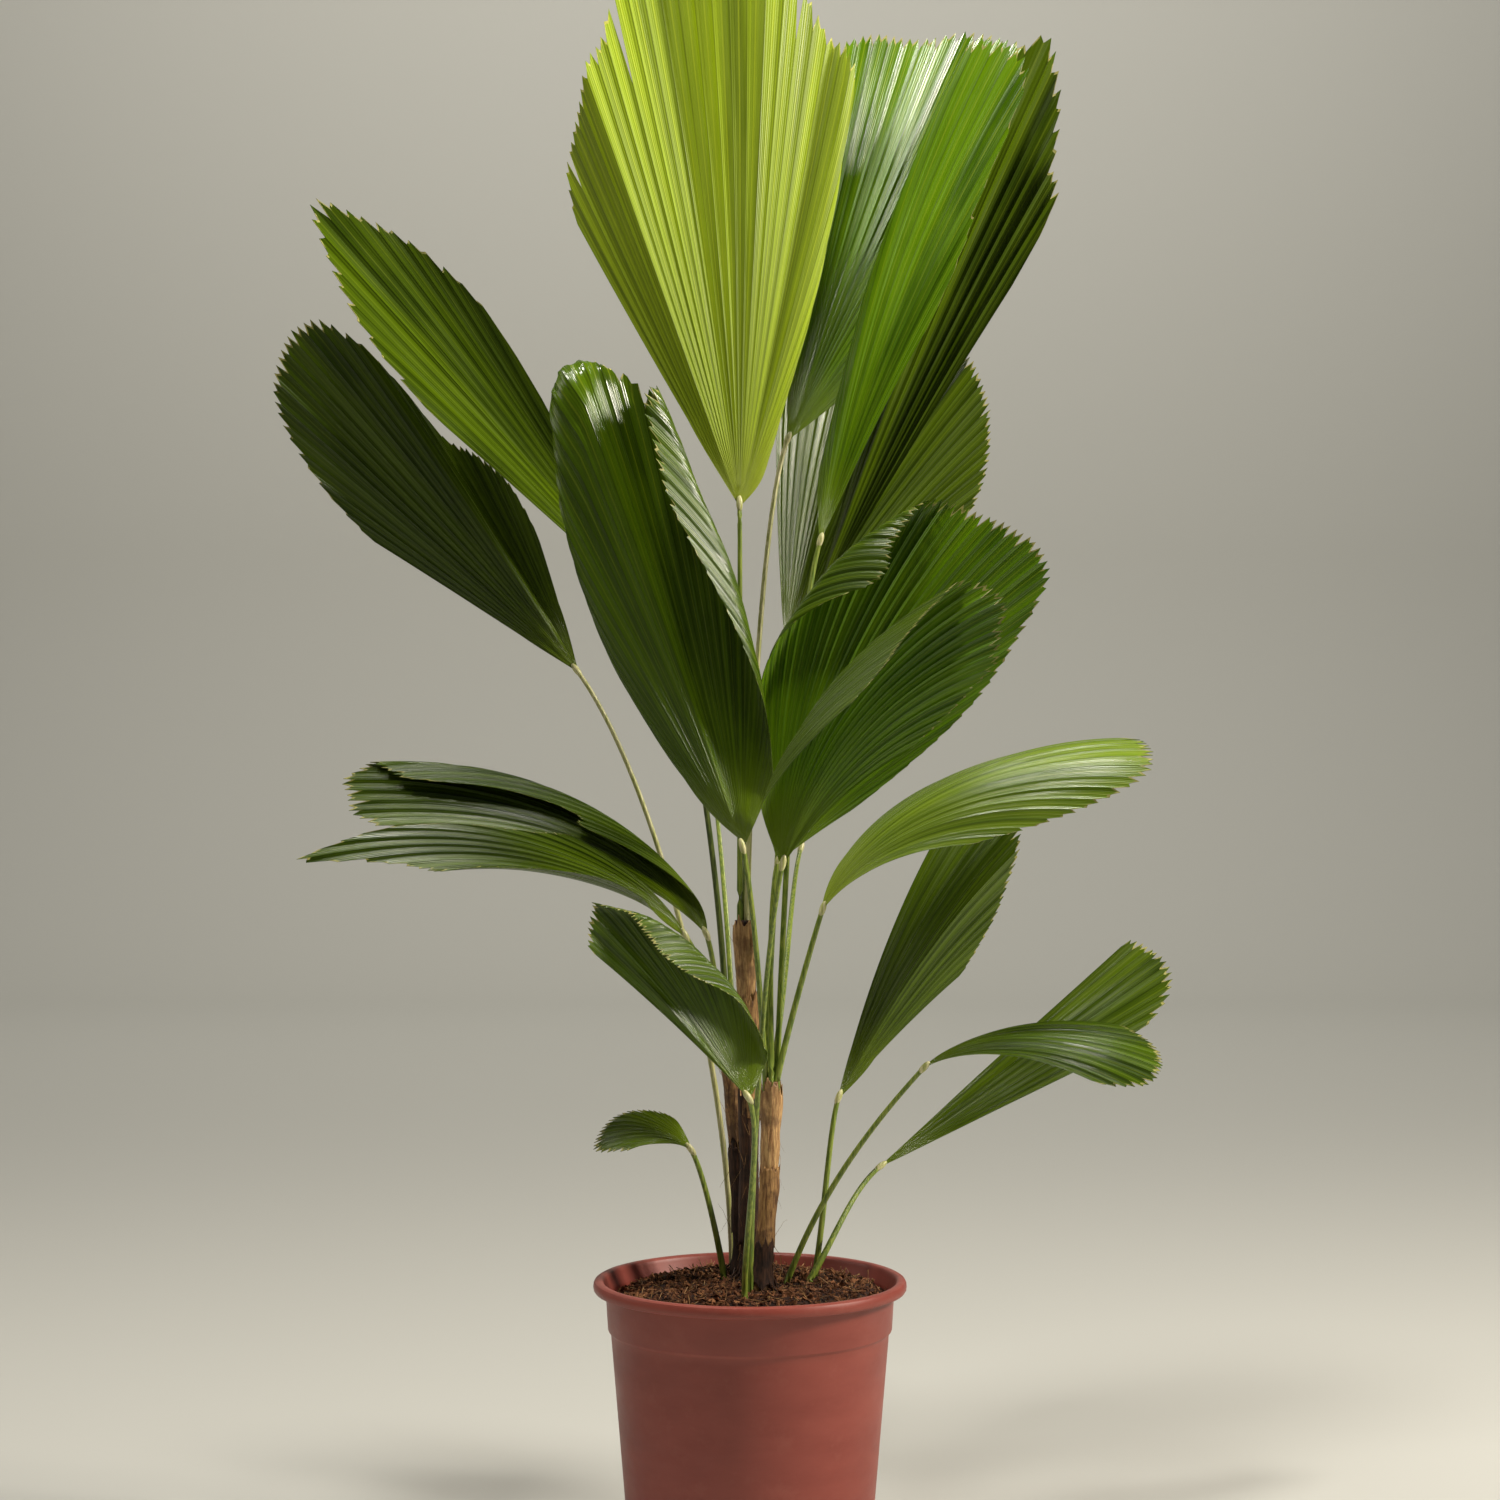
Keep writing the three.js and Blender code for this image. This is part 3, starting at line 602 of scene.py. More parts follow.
    {"stem": "left", "slot": 40, "leave": (100, 80), "at": (-28, 120, 590),
     "start": (110, 68), "end": (116, 54), "roll": 0, "length": 350,
     "spread": (12, 11), "edge": (0.7, 0.7), "fold": (40, 20, 0, -20, -40)},
    {"stem": "right", "slot": 90, "leave": (60, 70), "at": (41, 150, 548),
     "start": (60, 58), "end": (48, 32), "roll": 10, "length": 300,
     "spread": (13, 13), "edge": (0.7, 0.7), "fold": (40, 20, 0, -20, -40)},
]


# Stems and petioles: where they stand, in mm

stems = {
    "left": {"foot": (-5, 45), "top": (-17, 45, 407), "flare": 10, "radius": 6.6, "crown": 7,
             "ring": 4.7, "finish": "fibreDark", "relief": 1.1},
    "centre": {"foot": (-1, 15), "top": (-5, 10, 499), "flare": 8.5, "radius": 5.8, "crown": 6.8,
               "ring": 3.2, "finish": "fibreDark", "relief": 1.0},
    "right": {"foot": (7, -27), "top": (16, -25, 379), "flare": 9.5, "radius": 5.4, "crown": 7.2,
              "ring": 4.9, "finish": "fibreGolden", "relief": 0.9},
}
stemShape = {"sides": 48, "cuts": 150, "bow": 2.5, "ripple": 0.35, "ripples": 9, "flareShare": 0.16,
             "foot": 222.3, "soilFoot": 217,
             "threads": (9, 42, 0.55), "scars": (1.4, 13, 0.7)}  # turns, mm along, share of the relief


def outward(angle):
    return Vector((math.cos(angle), math.sin(angle), 0))


def stemPath(stem, share):
    foot = Vector((*stem["foot"], stemShape["foot"]))
    point = foot.lerp(Vector(stem["top"]), share)
    point.x += stemShape["bow"] * math.sin(math.pi * share)
    return point


def stemRadius(stem, share):
    flare = (stem["flare"] - stem["radius"]) * math.exp(-share / stemShape["flareShare"])
    crown = (stem["crown"] - stem["radius"]) * share ** 3
    return stem["radius"] + flare + crown + stemShape["ripple"] * math.cos(
        share * stemShape["ripples"] * math.pi)


def buildStem(name):
    # a cylinder cut into rings, bent along the stem's path, then given the fibre's relief
    stem = stems[name]
    deselectAll()
    bpy.ops.mesh.primitive_cylinder_add(vertices=stemShape["sides"], radius=1, depth=1,
                                        end_fill_type="TRIFAN", location=(0, 0, 0.5))
    piece = bpy.context.object
    piece.name = "cane_" + name
    bpy.ops.object.transform_apply(location=True)
    enterEdit()
    for i in range(1, stemShape["cuts"]):
        bpy.ops.mesh.select_all(action="SELECT")
        bpy.ops.mesh.bisect(plane_co=(0, 0, i / stemShape["cuts"]), plane_no=(0, 0, 1))
    leaveEdit()
    seed = len(name) * 7.3
    threadTurns, threadLength, threadShare = stemShape["threads"]
    scarTurns, scarLength, scarShare = stemShape["scars"]
    for vertex in piece.data.vertices:
        x, y, share = vertex.co
        centre = stemPath(stem, share)
        if share < 1e-4:
            centre.z = stemShape["soilFoot"]
        height = centre.z
        threads = noise.fractal(
            Vector((x * threadTurns, y * threadTurns, height / threadLength + seed)), 0.9, 2, 4)
        scars = noise.noise(Vector((x * scarTurns, y * scarTurns, height / scarLength + seed)))
        radius = stemRadius(stem, share)
        radius += stem["relief"] * (threadShare * threads + scarShare * scars)
        vertex.co = Vector((centre.x + x * radius, centre.y + y * radius, height)) * mm
    smooth(piece)
    paint(piece, stem["finish"])
    place(piece, "stem_fibre", "stem_" + name)


# Torn sheaths: thin leaf bases wrapped round a cane; angles in degrees, 270 faces the viewer

sheaths = [  # stem, share it starts at, top in mm, angles, gap to the cane, raggedness, finish
    ("centre", 0.72, 503, (150, 400), 1.0, 9, "fibreTan"),
    ("centre", 0.88, 497, (-60, 120), 1.8, 12, "fibreTan"),
    ("centre", 0.45, 446, (230, 420), 2.2, 12, "fibreGolden"),
    ("centre", 0.1, 372, (120, 330), 1.6, 14, "fibreDark"),
    ("left", 0.55, 413, (140, 380), 1.2, 12, "fibreGolden"),
    ("left", 0.15, 336, (200, 420), 1.6, 14, "fibreDark"),
    ("right", 0.55, 386, (170, 420), 1.0, 16, "fibreTan"),
    ("right", 0.2, 322, (210, 400), 1.5, 12, "fibreGolden"),
    ("right", 0.02, 262, (120, 360), 1.4, 10, "fibreDark"),
]
sheathShape = {"columns": 46, "rows": 34, "thickness": 0.5, "cornerDrop": 10, "hemWave": 6,
               "curl": (1.2, 1.5, 0.5), "threads": 0.35}  # mm


def closedSheet(upper, lower):
    # two grids of points joined at their borders into one thin closed solid
    rows, columns = upper.shape[:2]
    number = np.arange(rows * columns).reshape(rows, columns)
    under = number + rows * columns
    top = np.stack([number[:-1, :-1], number[:-1, 1:], number[1:, 1:], number[1:, :-1]], -1)
    bottom = np.stack([under[:-1, :-1], under[1:, :-1], under[1:, 1:], under[:-1, 1:]], -1)
    border = []
    for line, back in ((number[0], under[0]), (number[:, -1], under[:, -1]),
                       (number[-1, ::-1], under[-1, ::-1]), (number[::-1, 0], under[::-1, 0])):
        border.append(np.stack([line[:-1], back[:-1], back[1:], line[1:]], -1))
    faces = np.concatenate([top.reshape(-1, 4), bottom.reshape(-1, 4), *border])
    vertices = np.concatenate([upper.reshape(-1, 3), lower.reshape(-1, 3)])
    return vertices, faces, (rows - 1) * (columns - 1)


def sheathSheet(row, seed):
    stemName, start, top, (firstAngle, lastAngle), gap, jag, _ = row
    stem = stems[stemName]
    low = stemPath(stem, start).z
    columns, rows = sheathShape["columns"], sheathShape["rows"]
    grids = [np.zeros((rows, columns, 3)), np.zeros((rows, columns, 3))]
    for c in range(columns):
        across = c / (columns - 1)
        angle = math.radians(firstAngle + (lastAngle - firstAngle) * across)
        tear = noise.noise(Vector((across * 9, seed, 0)))
        tear += 0.6 * noise.noise(Vector((across * 31, seed, 2)))
        rim = top - jag * (0.6 - tear) - sheathShape["cornerDrop"] * abs(2 * across - 1) ** 3
        hem = low + sheathShape["hemWave"] * noise.noise(Vector((across * 6, seed, 5)))
        for r in range(rows):
            height = hem + (rim - hem) * r / (rows - 1)
            share = (height - stemShape["foot"]) / (stem["top"][2] - stemShape["foot"])
            centre = stemPath(stem, share)
            curl = noise.noise(Vector((across * 4, height / 17, seed)))
            flare, ruffle, lift = sheathShape["curl"]
            loose = (r / (rows - 1)) ** 4 * (flare + ruffle * curl) + lift * abs(curl)
            loose += sheathShape["threads"] * noise.noise(Vector((across * 42, height / 30, seed + 9)))
            radius = stemRadius(stem, min(share, 1)) + gap + loose
            for grid, depth in zip(grids, (0, sheathShape["thickness"])):
                grid[r, c] = Vector((*centre.xy, height)) + outward(angle) * (radius - depth)
    return closedSheet(*grids)


def buildSheaths():
    for finish in ("fibreTan", "fibreGolden", "fibreDark"):
        vertices, faces, count = [], [], 0
        for seed, row in enumerate(sheaths):
            if row[-1] != finish:
                continue
            points, sides, _ = sheathSheet(row, seed * 3.7)
            vertices.append(points)
            faces.append(sides + count)
            count += len(points)
        name = "sheaths_" + finish.replace("fibre", "").lower()
        piece = meshFromArrays(name, np.concatenate(vertices) * mm, np.concatenate(faces))
        smooth(piece)
        paint(piece, finish)
        place(piece, "stem_fibre")


strands = {"seed": 21, "taper": 0.8, "soilTop": 220, "threads": 70, "threadPoints": 7,
           "threadStep": (1.5, 4.5), "threadThick": (0.12, 0.3), "rootlets": 26, "rootletPoints": 6,
           "rootletLength": (7, 18), "rootletRise": (9, 22), "rootletThick": (0.5, 1.1)}  # mm


def strandMesh(name, lines, finish):
    # thin round strands: a curve of splines with a small bevel, turned into a mesh
    curve = bpy.data.curves.new(name, "CURVE")
    curve.dimensions = "3D"
    curve.bevel_depth = 1 * mm
    curve.bevel_resolution = 0
    curve.use_fill_caps = True
    for points, thick in lines:
        spline = curve.splines.new("POLY")
        spline.points.add(len(points) - 1)
        for i, point in enumerate(points):
            spline.points[i].co = (*(Vector(point) * mm), 1)
            spline.points[i].radius = thick * (1 - strands["taper"] * i / (len(points) - 1))
    piece = meshFromCurve(name, curve)
    paint(piece, finish)
    place(piece, "stem_fibre")


def buildFibres():
    # loose threads along the canes, and a few stiff rootlets fanning into the soil
    draw = random.Random(strands["seed"])
    threads = []
    for stem in stems.values():
        for i in range(strands["threads"]):
            share = draw.uniform(0.03, 1)
            out = outward(draw.uniform(0, 2 * math.pi))
            point = stemPath(stem, share) + out * (stemRadius(stem, share) + 0.8)
            lean = Vector((draw.uniform(-0.5, 0.5), draw.uniform(-0.5, 0.5), draw.choice((-1, 1))))
            points = []
            for k in range(strands["threadPoints"]):
                points.append(point + out * (0.1 * k * k * draw.uniform(0.3, 1.1)))
                point = point + lean * draw.uniform(*strands["threadStep"])
            if min(p.z for p in points) > strands["soilTop"]:
                threads.append((points, draw.uniform(*strands["threadThick"])))
    strandMesh("cane_fibres", threads, "fibreGolden")
    rootlets = []
    for stem in stems.values():
        for i in range(strands["rootlets"]):
            out = outward(draw.uniform(0, 2 * math.pi))
            length = draw.uniform(*strands["rootletLength"])
            start = stemPath(stem, 0) + out * (stem["flare"] - 2.5)
            points = []
            for k in range(strands["rootletPoints"]):
                share = k / (strands["rootletPoints"] - 1)
                point = start + out * length * share
                rise = draw.uniform(*strands["rootletRise"]) * (1 - share) ** 1.6 if k else 20
                ground = soilHeight(point.x, point.y)
                points.append(Vector((*point.xy, max(ground - 1.5 * share, ground - 1 + rise * 0.8))))
            rootlets.append((points, draw.uniform(*strands["rootletThick"])))
    strandMesh("cane_rootlets", rootlets, "fibreDark")


for stemName in stems:
    buildStem(stemName)
buildSheaths()
buildFibres()
print("stage: canes")


# Petioles: one curve each, a grooved stalk ending in a small pale hastula

petiole = {"radius": 2.1, "swell": (1.25, 1.1, 0.78), "end": 4.5, "steps": 30,
           "inStem": 14, "inSoil": 5, "knob": (2.5, 6.5),  # mm: depths, the knob's radius and half length
           "section": [(0, 0.72), (0.62, 0.98), (1.0, 0.25), (0.86, -0.62), (0.45, -1.0), (0, -1.08),
                       (-0.45, -1.0), (-0.86, -0.62), (-1.0, 0.25), (-0.62, 0.98)]}


def heading(azimuth, elevation):
    flat = math.cos(math.radians(elevation))
    return Vector((math.cos(math.radians(azimuth)) * flat, math.sin(math.radians(azimuth)) * flat,
                   math.sin(math.radians(elevation))))


def petioleFoot(frond):
    if "stem" not in frond:
        return Vector((*frond["foot"], stemShape["foot"]))
    stem = stems[frond["stem"]]
    return Vector(stem["top"]) + heading(frond["slot"], 0) * stem["ring"] + up * 0.3


def petioleSection():
    curve = bpy.data.curves.new("section", "CURVE")
    curve.dimensions = "2D"
    spline = curve.splines.new("POLY")
    spline.points.add(len(petiole["section"]) - 1)
    for point, (x, y) in zip(spline.points, petiole["section"]):
        point.co = (x * petiole["radius"] * mm, y * petiole["radius"] * mm, 0, 1)
    spline.use_cyclic_u = True
    return addObject("section", curve)


def buildPetiole(frond, name, section):
    foot = petioleFoot(frond)
    hastula = Vector(frond["at"])
    span = (foot - hastula).length
    ahead = heading(*frond["start"])
    end = hastula + ahead * petiole["end"]
    sunk = foot - up * (petiole["inStem"] if "stem" in frond else petiole["inSoil"])
    curve = bpy.data.curves.new(name, "CURVE")
    curve.dimensions = "3D"
    curve.twist_mode = "Z_UP"
    curve.bevel_mode = "OBJECT"
    curve.bevel_object = section
    curve.use_fill_caps = True
    curve.resolution_u = petiole["steps"]
    spline = curve.splines.new("BEZIER")
    spline.bezier_points.add(2)
    stations = [
        (sunk, sunk - up, sunk + up * 2),
        (foot, foot - up * 2, foot + heading(*frond["leave"]) * span * frond["rise"]),
        (end, end - ahead * span * frond["reach"], end + ahead),
    ]
    for point, (co, left, right), radius in zip(spline.bezier_points, stations, petiole["swell"]):
        point.handle_left_type = point.handle_right_type = "FREE"
        point.co, point.handle_left, point.handle_right = co * mm, left * mm, right * mm
        point.radius = radius
    piece = meshFromCurve(name, curve)
    smooth(piece)
    paint(piece, frond["stalk"], "petiolePaleAndPaintedHighlight")
    return piece


def addHastula(piece, frond, name):
    # the knob where the ribs meet: a ball drawn out along the blade, joined to its stalk
    ahead = heading(*frond["start"])
    radius, halfLength = petiole["knob"]
    deselectAll()
    bpy.ops.mesh.primitive_uv_sphere_add(segments=16, ring_count=10, radius=1)
    knob = bpy.context.object
    turn = up.rotation_difference(ahead)
    middle = Vector(frond["at"]) + ahead * radius
    for vertex in knob.data.vertices:
        shaped = Vector((vertex.co.x * radius, vertex.co.y * radius, vertex.co.z * halfLength))
        vertex.co = (middle + turn @ shaped) * mm
    smooth(knob)
    paint(knob, "petiolePaleAndPaintedHighlight")
    deselectAll()
    knob.select_set(True)
    piece.select_set(True)
    bpy.context.view_layer.objects.active = piece
    bpy.ops.object.join()
    piece.name = name


# Blades: ribs fanning from the hastula on a bending middle rib, pleated, toothed, then folded over

blade = {
    "ribSteps": 40,
    "foldSteps": 24,
    "foldStart": 0.15,
    "first": 2.5,           # mm from the hastula to the first section
    "rows": 44,
    "rowEase": 1.1,
    "tipBand": 3.0,         # mm of dry tip at the margin
    "thickness": 0.45,
    "toothAngle": 2.0,      # degrees of the fan for one two-tipped tooth
    "columns": 8,
    "notch": (0.8, 1.15),   # between teeth, in tooth widths
    "cleft": (0.45, 0.75),  # between a tooth's two tips
    "deepNotches": (0.07, 1.5),  # share of the notches that are deeper, and how much
    "wedge": (0.15, 0.85),  # most that is cut beside a notch, and how round
    "pleats": (0.65, 0.35),  # shares of a tooth's own fold and of its two tips'
    "pleatDepths": (0.45, 1.4),
    "wave": 2.2,            # slow ripple of the sheet in mm
    "waves": (2.6, 2.4),    # how many across and along
    "sway": 4,              # degrees that bands of pleats lean
    "swayWidth": 9,         # degrees of the fan for one band of leaning pleats
    "dryTips": 0.55,        # share of the tips that have dried
}


def unit(vectors):
    return vectors / np.linalg.norm(vectors, axis=-1, keepdims=True)


def middleRib(frond):
    # points and frames in equal steps along the middle rib, carried without twist
    (startAzimuth, startElevation), (endAzimuth, endElevation) = frond["start"], frond["end"]
    point = np.array(frond["at"], float)
    along = np.array(heading(startAzimuth, startElevation))
    flat = unit(np.array([0, 0, 1]) - along * along[2])
    roll = math.radians(frond["roll"])
    facing = flat * math.cos(roll) + np.cross(along, flat) * math.sin(roll)
    frames = [(point, along, facing)]
    for i in range(1, blade["ribSteps"] + 1):
        bent = (i / blade["ribSteps"]) ** frond["late"]
        following = np.array(heading(startAzimuth + (endAzimuth - startAzimuth) * bent,
                                     startElevation + (endElevation - startElevation) * bent))
        facing = facing - (along + following) * (following @ facing) / (1 + along @ following)
        point = point + (along + following) * (frond["length"] / blade["ribSteps"] / 2)
        along = following
        frames.append((point, along, facing))
    return [np.array([frame[i] for frame in frames]) for i in range(3)]


def framesAt(ribs, share):
    spot = np.clip(share, 0, 1.2) * blade["ribSteps"]
    index = np.minimum(spot.astype(int), blade["ribSteps"] - 1)
    mix = (spot - index)[..., None]
    point, along, facing = [values[index] * (1 - mix) + values[index + 1] * mix for values in ribs]
    along = unit(along)
    facing = unit(facing - along * np.sum(facing * along, -1, keepdims=True))
    return point, facing, np.cross(along, facing)


def smoothCurve(u, stations):
    # a soft curve through (place, value) stations
    places, values = np.array(stations, float).T
    slopes = np.gradient(values, places)
    index = np.clip(np.searchsorted(places, u, side="right") - 1, 0, len(places) - 2)
    width = places[index + 1] - places[index]
    t = np.clip((u - places[index]) / width, 0, 1)
    before, after = values[index], values[index + 1]
    return (before * (1 + 2 * t) * (1 - t) ** 2 + after * t * t * (3 - 2 * t)
            + width * (slopes[index] * t * (1 - t) ** 2 - slopes[index + 1] * t * t * (1 - t)))


def ribAngle(frond, u):
    return np.radians(u * np.where(u < 0, *frond["spread"]))


def ribShare(frond, u):
    if "margin" in frond:
        return smoothCurve(u, frond["margin"])
    cut = (1 - np.where(u < 0, *frond["edge"])) * np.abs(u) ** np.where(u < 0, *frond["round"])
    return (1 - cut) * np.cos(ribAngle(frond, u))


def foldAngle(frond, u):
    bands = np.sin(2 * math.pi * np.degrees(ribAngle(frond, u)) / blade["swayWidth"] + frond["at"][0])
    return np.radians(np.interp(u, frond["foldAt"], frond["fold"]) + blade["sway"] * bands)


def foldedStrip(frond, u, share):
    opened = np.minimum(1, share / blade["foldStart"]) * (frond["open"] + (1 - frond["open"]) * share)
    steps = np.arange(1, blade["foldSteps"] + 1)[:, None] / blade["foldSteps"]
    deltas = np.diff(np.tan(ribAngle(frond, u * steps)), axis=0, prepend=0)
    slopes = foldAngle(frond, u * (steps - 0.5 / blade["foldSteps"]))
    turned = slopes[None] * opened[:, None, :]
    across = np.sum(np.cos(turned) * deltas, 1)
    height = np.sum(np.sin(turned) * deltas, 1)
    return across, height, foldAngle(frond, u) * opened


def rollOver(sized, angle, across, along, height):
    # bends the sheet outside an arc from start to end; sizes in mm, a negative angle bends back
    (x0, y0), (x1, y1), bulge, radius = sized
    span = math.hypot(x1 - x0, y1 - y0)
    dx, dy = (x1 - x0) / span, (y1 - y0) / span
    arc = span ** 2 / (8 * bulge) + bulge / 2
    centreX = (x0 + x1) / 2 + dy * (bulge - arc)
    centreY = (y0 + y1) / 2 - dx * (bulge - arc)
    outX, outY = across - centreX, along - centreY
    distance = np.hypot(outX, outY) + 1e-6
    beyond = np.where(outX * dy - outY * dx > 0, distance - arc, -arc)
    front = math.copysign(1, angle)
    height = height * front
    full = math.radians(abs(angle))
    turn = np.clip(beyond / radius, 0, full)
    rest = np.maximum(beyond - radius * full, 0)
    bent = beyond * (beyond < 0) + (radius - height) * np.sin(turn) + rest * math.cos(full)
    height = radius - (radius - height) * np.cos(turn) + rest * math.sin(full)
    scale = np.where(beyond > 0, (arc + bent) / distance, 1)
    return centreX + outX * scale, centreY + outY * scale, height * front


def toothColumns(frond, draw):
    # for each column of the fan: its place u, its cut at the margin in tooth widths, its pleat
    toothAngle = frond.get("toothAngle", blade["toothAngle"])
    left, right = [max(3, round(side / toothAngle)) for side in frond["spread"]]
    per = blade["columns"]
    total = (left + right) * per
    tooth = np.arange(total + 1) / per - left
    u = np.where(tooth < 0, tooth / left, tooth / right)
    cut = np.zeros(total + 1)
    half = per // 4
    deepShare, deeper = blade["deepNotches"]
    mostBack, roundness = blade["wedge"]
    for number in range(left + right + 1):
        notch = draw.uniform(*blade["notch"]) * (deeper if draw.random() < deepShare else 1)
        notch += frond["splits"].get(number - left, 0)
        cleft = draw.uniform(*blade["cleft"])
        back = draw.uniform(0, mostBack)
        for offset in range(-half, half + 1):
            for column, depth in ((number * per + offset, notch),
                                  (number * per + per // 2 + offset, cleft)):
                if 0 <= column <= total:
                    wedge = back + (depth - back) * (1 - abs(offset) / half) ** roundness
                    cut[column] = max(cut[column], wedge)
    numbers = np.arange(-left, right + 1)
    depth = np.interp(tooth, numbers, [draw.uniform(*blade["pleatDepths"]) for number in numbers])
    pleat = 0
    for times, share in enumerate(blade["pleats"], 1):
        pleat += share * (1 - 4 * np.abs((times * tooth + 0.5) % 1 - 0.5))
    return u, cut, pleat * depth, tooth


def rippleOf(u, share, seed):
    ripple = np.zeros(share.shape)
    acrossWaves, alongWaves = blade["waves"]
    for row, column in np.ndindex(share.shape):
        spot = Vector((u[column] * acrossWaves, share[row, column] * alongWaves, seed))
        ripple[row, column] = noise.noise(spot)
    return ripple * blade["wave"] * np.clip(share * 3, 0, 1)


def bladeSurfaces(frond, draw):
    u, cut, pleat, tooth = toothColumns(frond, draw)
    length = frond["length"]
    toothShare = math.tan(math.radians(frond.get("toothAngle", blade["toothAngle"])))
    first = blade["first"] / length
    y = np.linspace(0, 1, blade["rows"] + 1) ** blade["rowEase"] * (1 - blade["tipBand"] / length)
    y = np.append(y, 1)[:, None]
    reach = ribShare(frond, u)[None]
    share = first + (reach - first) * y - (cut * toothShare)[None] * reach * y ** 7
    offAcross, offFacing, slope = foldedStrip(frond, u, share)
    middle = pleat[None] * toothShare * share * length * frond["pleat"]
    middle = middle + rippleOf(u, share, draw.uniform(0, 50))
    ribs = middleRib(frond)
    surfaces = []
    for side in (0.5, -0.5):
        lift = middle + side * blade["thickness"]
        across = offAcross * share * length - np.sin(slope) * lift
        height = offFacing * share * length + np.cos(slope) * lift
        along = share * length
        for *arc, angle in frond["rolls"]:
            sized = [np.array(value) * length for value in arc]
            across, along, height = rollOver(sized, angle, across, along, height)
        point, facing, sideways = framesAt(ribs, along / length)
        surfaces.append(point + sideways * across[..., None] + facing * height[..., None])
    uv = np.stack([np.broadcast_to(tooth + 100, share.shape), share * length / 100], -1)
    return surfaces[0], surfaces[1], uv


def buildBlade(frond, number, name):
    draw = random.Random(100 + number)
    upper, lower, uv = bladeSurfaces(frond, draw)
    vertices, faces, topCount = closedSheet(upper, lower)
    piece = meshFromArrays(name, vertices * mm, faces[:, ::-1])
    smooth(piece)
    mesh = piece.data
    fresh = frond["leaf"] == "leafFresh"
    under, tip = ("leafFreshUnder", "leafTipFresh") if fresh else ("leafUnderWithPaintedShade", "leafTip")
    paint(piece, frond.get("finish", frond["leaf"]), under, tip)
    columns = upper.shape[1] - 1
    index = np.zeros(len(faces), int)
    index[topCount:] = 1
    tips = np.zeros((upper.shape[0] - 1, columns), bool)
    tips[-1] = [draw.random() < blade["dryTips"] for c in range(columns)]
    for side in (0, topCount):
        index[side:side + topCount][tips.ravel()] = 2
    mesh.polygons.foreach_set("material_index", index)
    ends = np.zeros(len(mesh.edges) * 2, int)
    mesh.edges.foreach_get("vertices", ends)
    column, line = ends % (columns + 1), ends // (columns + 1)
    crease = (column[::2] == column[1::2]) & (column[::2] % 2 == 0)
    crease |= (line[::2] == line[1::2]) & (line[::2] % upper.shape[0] == upper.shape[0] - 1)
    mesh.attributes.new("sharp_edge", "BOOLEAN", "EDGE").data.foreach_set("value", crease)
    layer = mesh.uv_layers.new(name="ribs")
    loops = np.zeros(len(mesh.loops), int)
    mesh.loops.foreach_get("vertex_index", loops)
    flat = np.concatenate([uv.reshape(-1, 2)] * 2)
    layer.uv.foreach_set("vector", flat[loops].ravel())
    place(piece, frond["leaf"].replace("leaf", "leaf_").lower(), f"blade_{number:02d}")


section = petioleSection()
for number, row in enumerate(frondRows, 1):
    frond = {**frondDefaults, **row}
    stalk = buildPetiole(frond, f"stalk_{number:02d}", section)
    addHastula(stalk, frond, f"stalk_{number:02d}")
    place(stalk, "petiole_skin", f"petiole_{number:02d}")
    buildBlade(frond, number, f"leaf_{number:02d}")
bpy.data.objects.remove(section)
print("stage: fronds")


# Stage: a pale floor rolled up into a far wall, a key light from the right and small ones from above

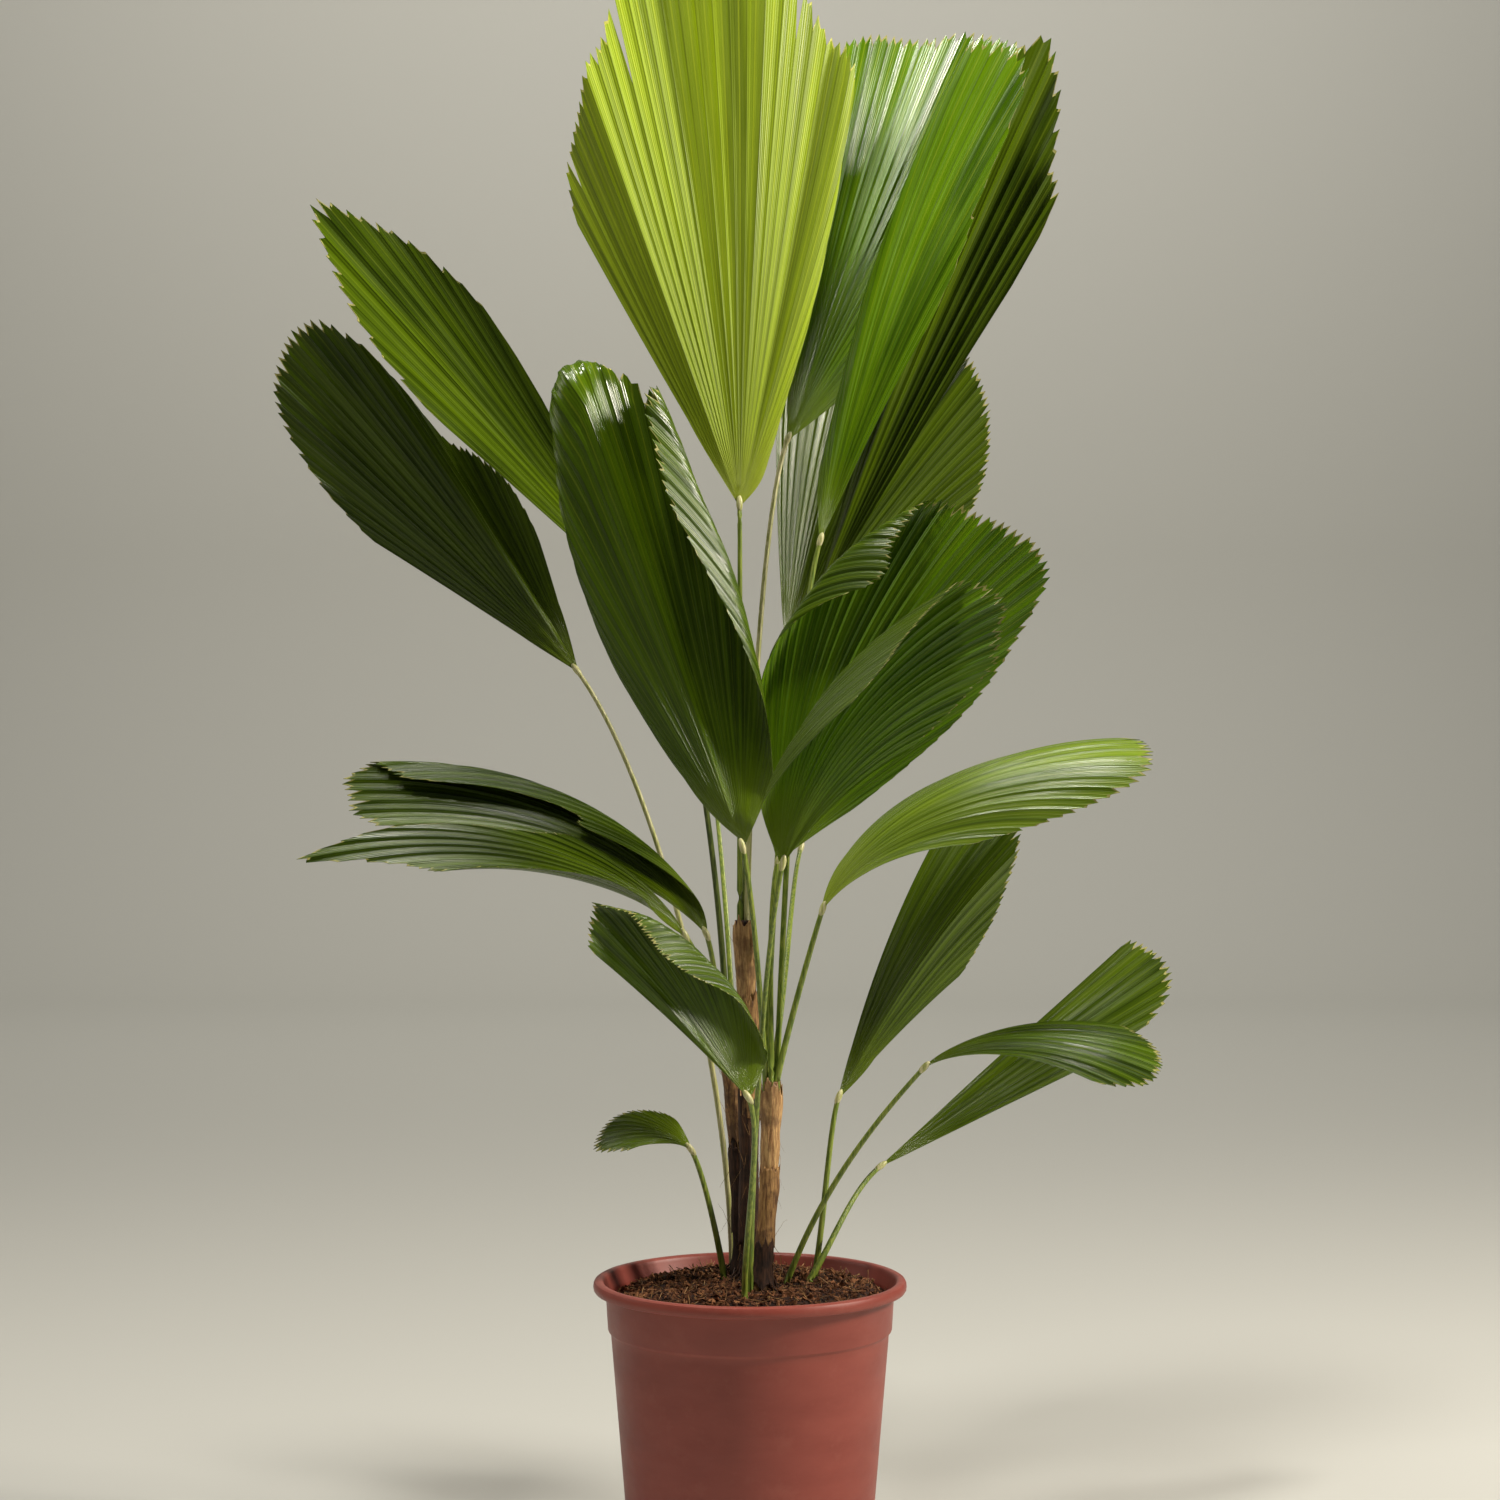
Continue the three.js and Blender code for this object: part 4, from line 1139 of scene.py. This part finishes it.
studio = {
    "floor": (14, 10, 1),  # metres
    "cove": (0, 5, 1.2),   # centre of the bend between floor and wall
    "coveSteps": 16,
    "wallHeight": 5,
    "paper": "#c6c6c0",
    "sky": "#dfe3e6",
    "skyStrength": 0.07,
    "camera": (0, -2.2365, 0.63),
    "lens": 70,
    "sensor": 36,
}
lights = [  # name, place, aim and size in metres, watts, colour
    ("keyLight", (2.3, -0.5, 1.9), (0, 0, 0.7), (0.4, 0.7), 92, "#fff6e8"),
    ("topLight", (-0.3, -0.5, 2.65), (0, 0, 0.75), (0.35, 0.35), 30, "#fffaf0"),
    ("backTopLight", (-0.65, 0.1, 2.75), (0, 0, 0.75), (0.4, 0.3), 14, "#fffaf0"),
    ("leftLight", (-2.1, 0.5, 1.5), (0, 0, 0.6), (1.0, 1.0), 6, "#fff6e8"),
    ("wallLight", (0, 3.4, 4.2), (0, 6.2, 1.2), (5, 0.6), 110, "#fffaf0"),
]


def buildStage():
    deselectAll()
    bpy.ops.mesh.primitive_plane_add(size=1, location=(0, 0, 0))
    floor = bpy.context.object
    floor.name = "floor"
    floor.scale = studio["floor"]
    bpy.ops.object.transform_apply(location=True, scale=True)
    editOnly(floor, "edges", lambda edge: all(floor.data.vertices[i].co.y > 1 for i in edge.vertices))
    bpy.ops.mesh.select_mode(type="EDGE")
    bpy.ops.mesh.spin(steps=studio["coveSteps"], angle=math.radians(-90), center=studio["cove"],
                      axis=(1, 0, 0))
    bpy.ops.mesh.extrude_region_move(TRANSFORM_OT_translate={"value": (0, 0, studio["wallHeight"])})
    leaveEdit()
    smooth(floor)
    tree, shader = newMaterial("studioPaper")  # matt backdrop paper
    setInputs(tree, shader, {"Base Color": studio["paper"], "Roughness": 0.9})
    paint(floor, "studioPaper")


def addLight(name, where, aim, size, power, color):
    deselectAll()
    bpy.ops.object.light_add(type="AREA", location=where)
    light = bpy.context.object
    light.name = name
    light.data.shape = "RECTANGLE"
    light.data.size, light.data.size_y = size
    light.data.energy = power
    light.data.color = toLinear(color)[:3]
    direction = Vector(aim) - Vector(where)
    light.rotation_euler = direction.to_track_quat("-Z", "Y").to_euler()


buildStage()
for light in lights:
    addLight(*light)
world = bpy.data.worlds.new("studio")
world.use_nodes = True
setInputs(world.node_tree, world.node_tree.nodes["Background"],
          {"Color": studio["sky"], "Strength": studio["skyStrength"]})
bpy.context.scene.world = world
bpy.context.scene.view_settings.view_transform = "Standard"
cameraData = bpy.data.cameras.new("photoCamera")
cameraData.lens = studio["lens"]
cameraData.sensor_width = studio["sensor"]
camera = addObject("photoCamera", cameraData)
camera.location = studio["camera"]
camera.rotation_euler = (math.radians(90), 0, 0)
bpy.context.scene.camera = camera
print("stage: studio")
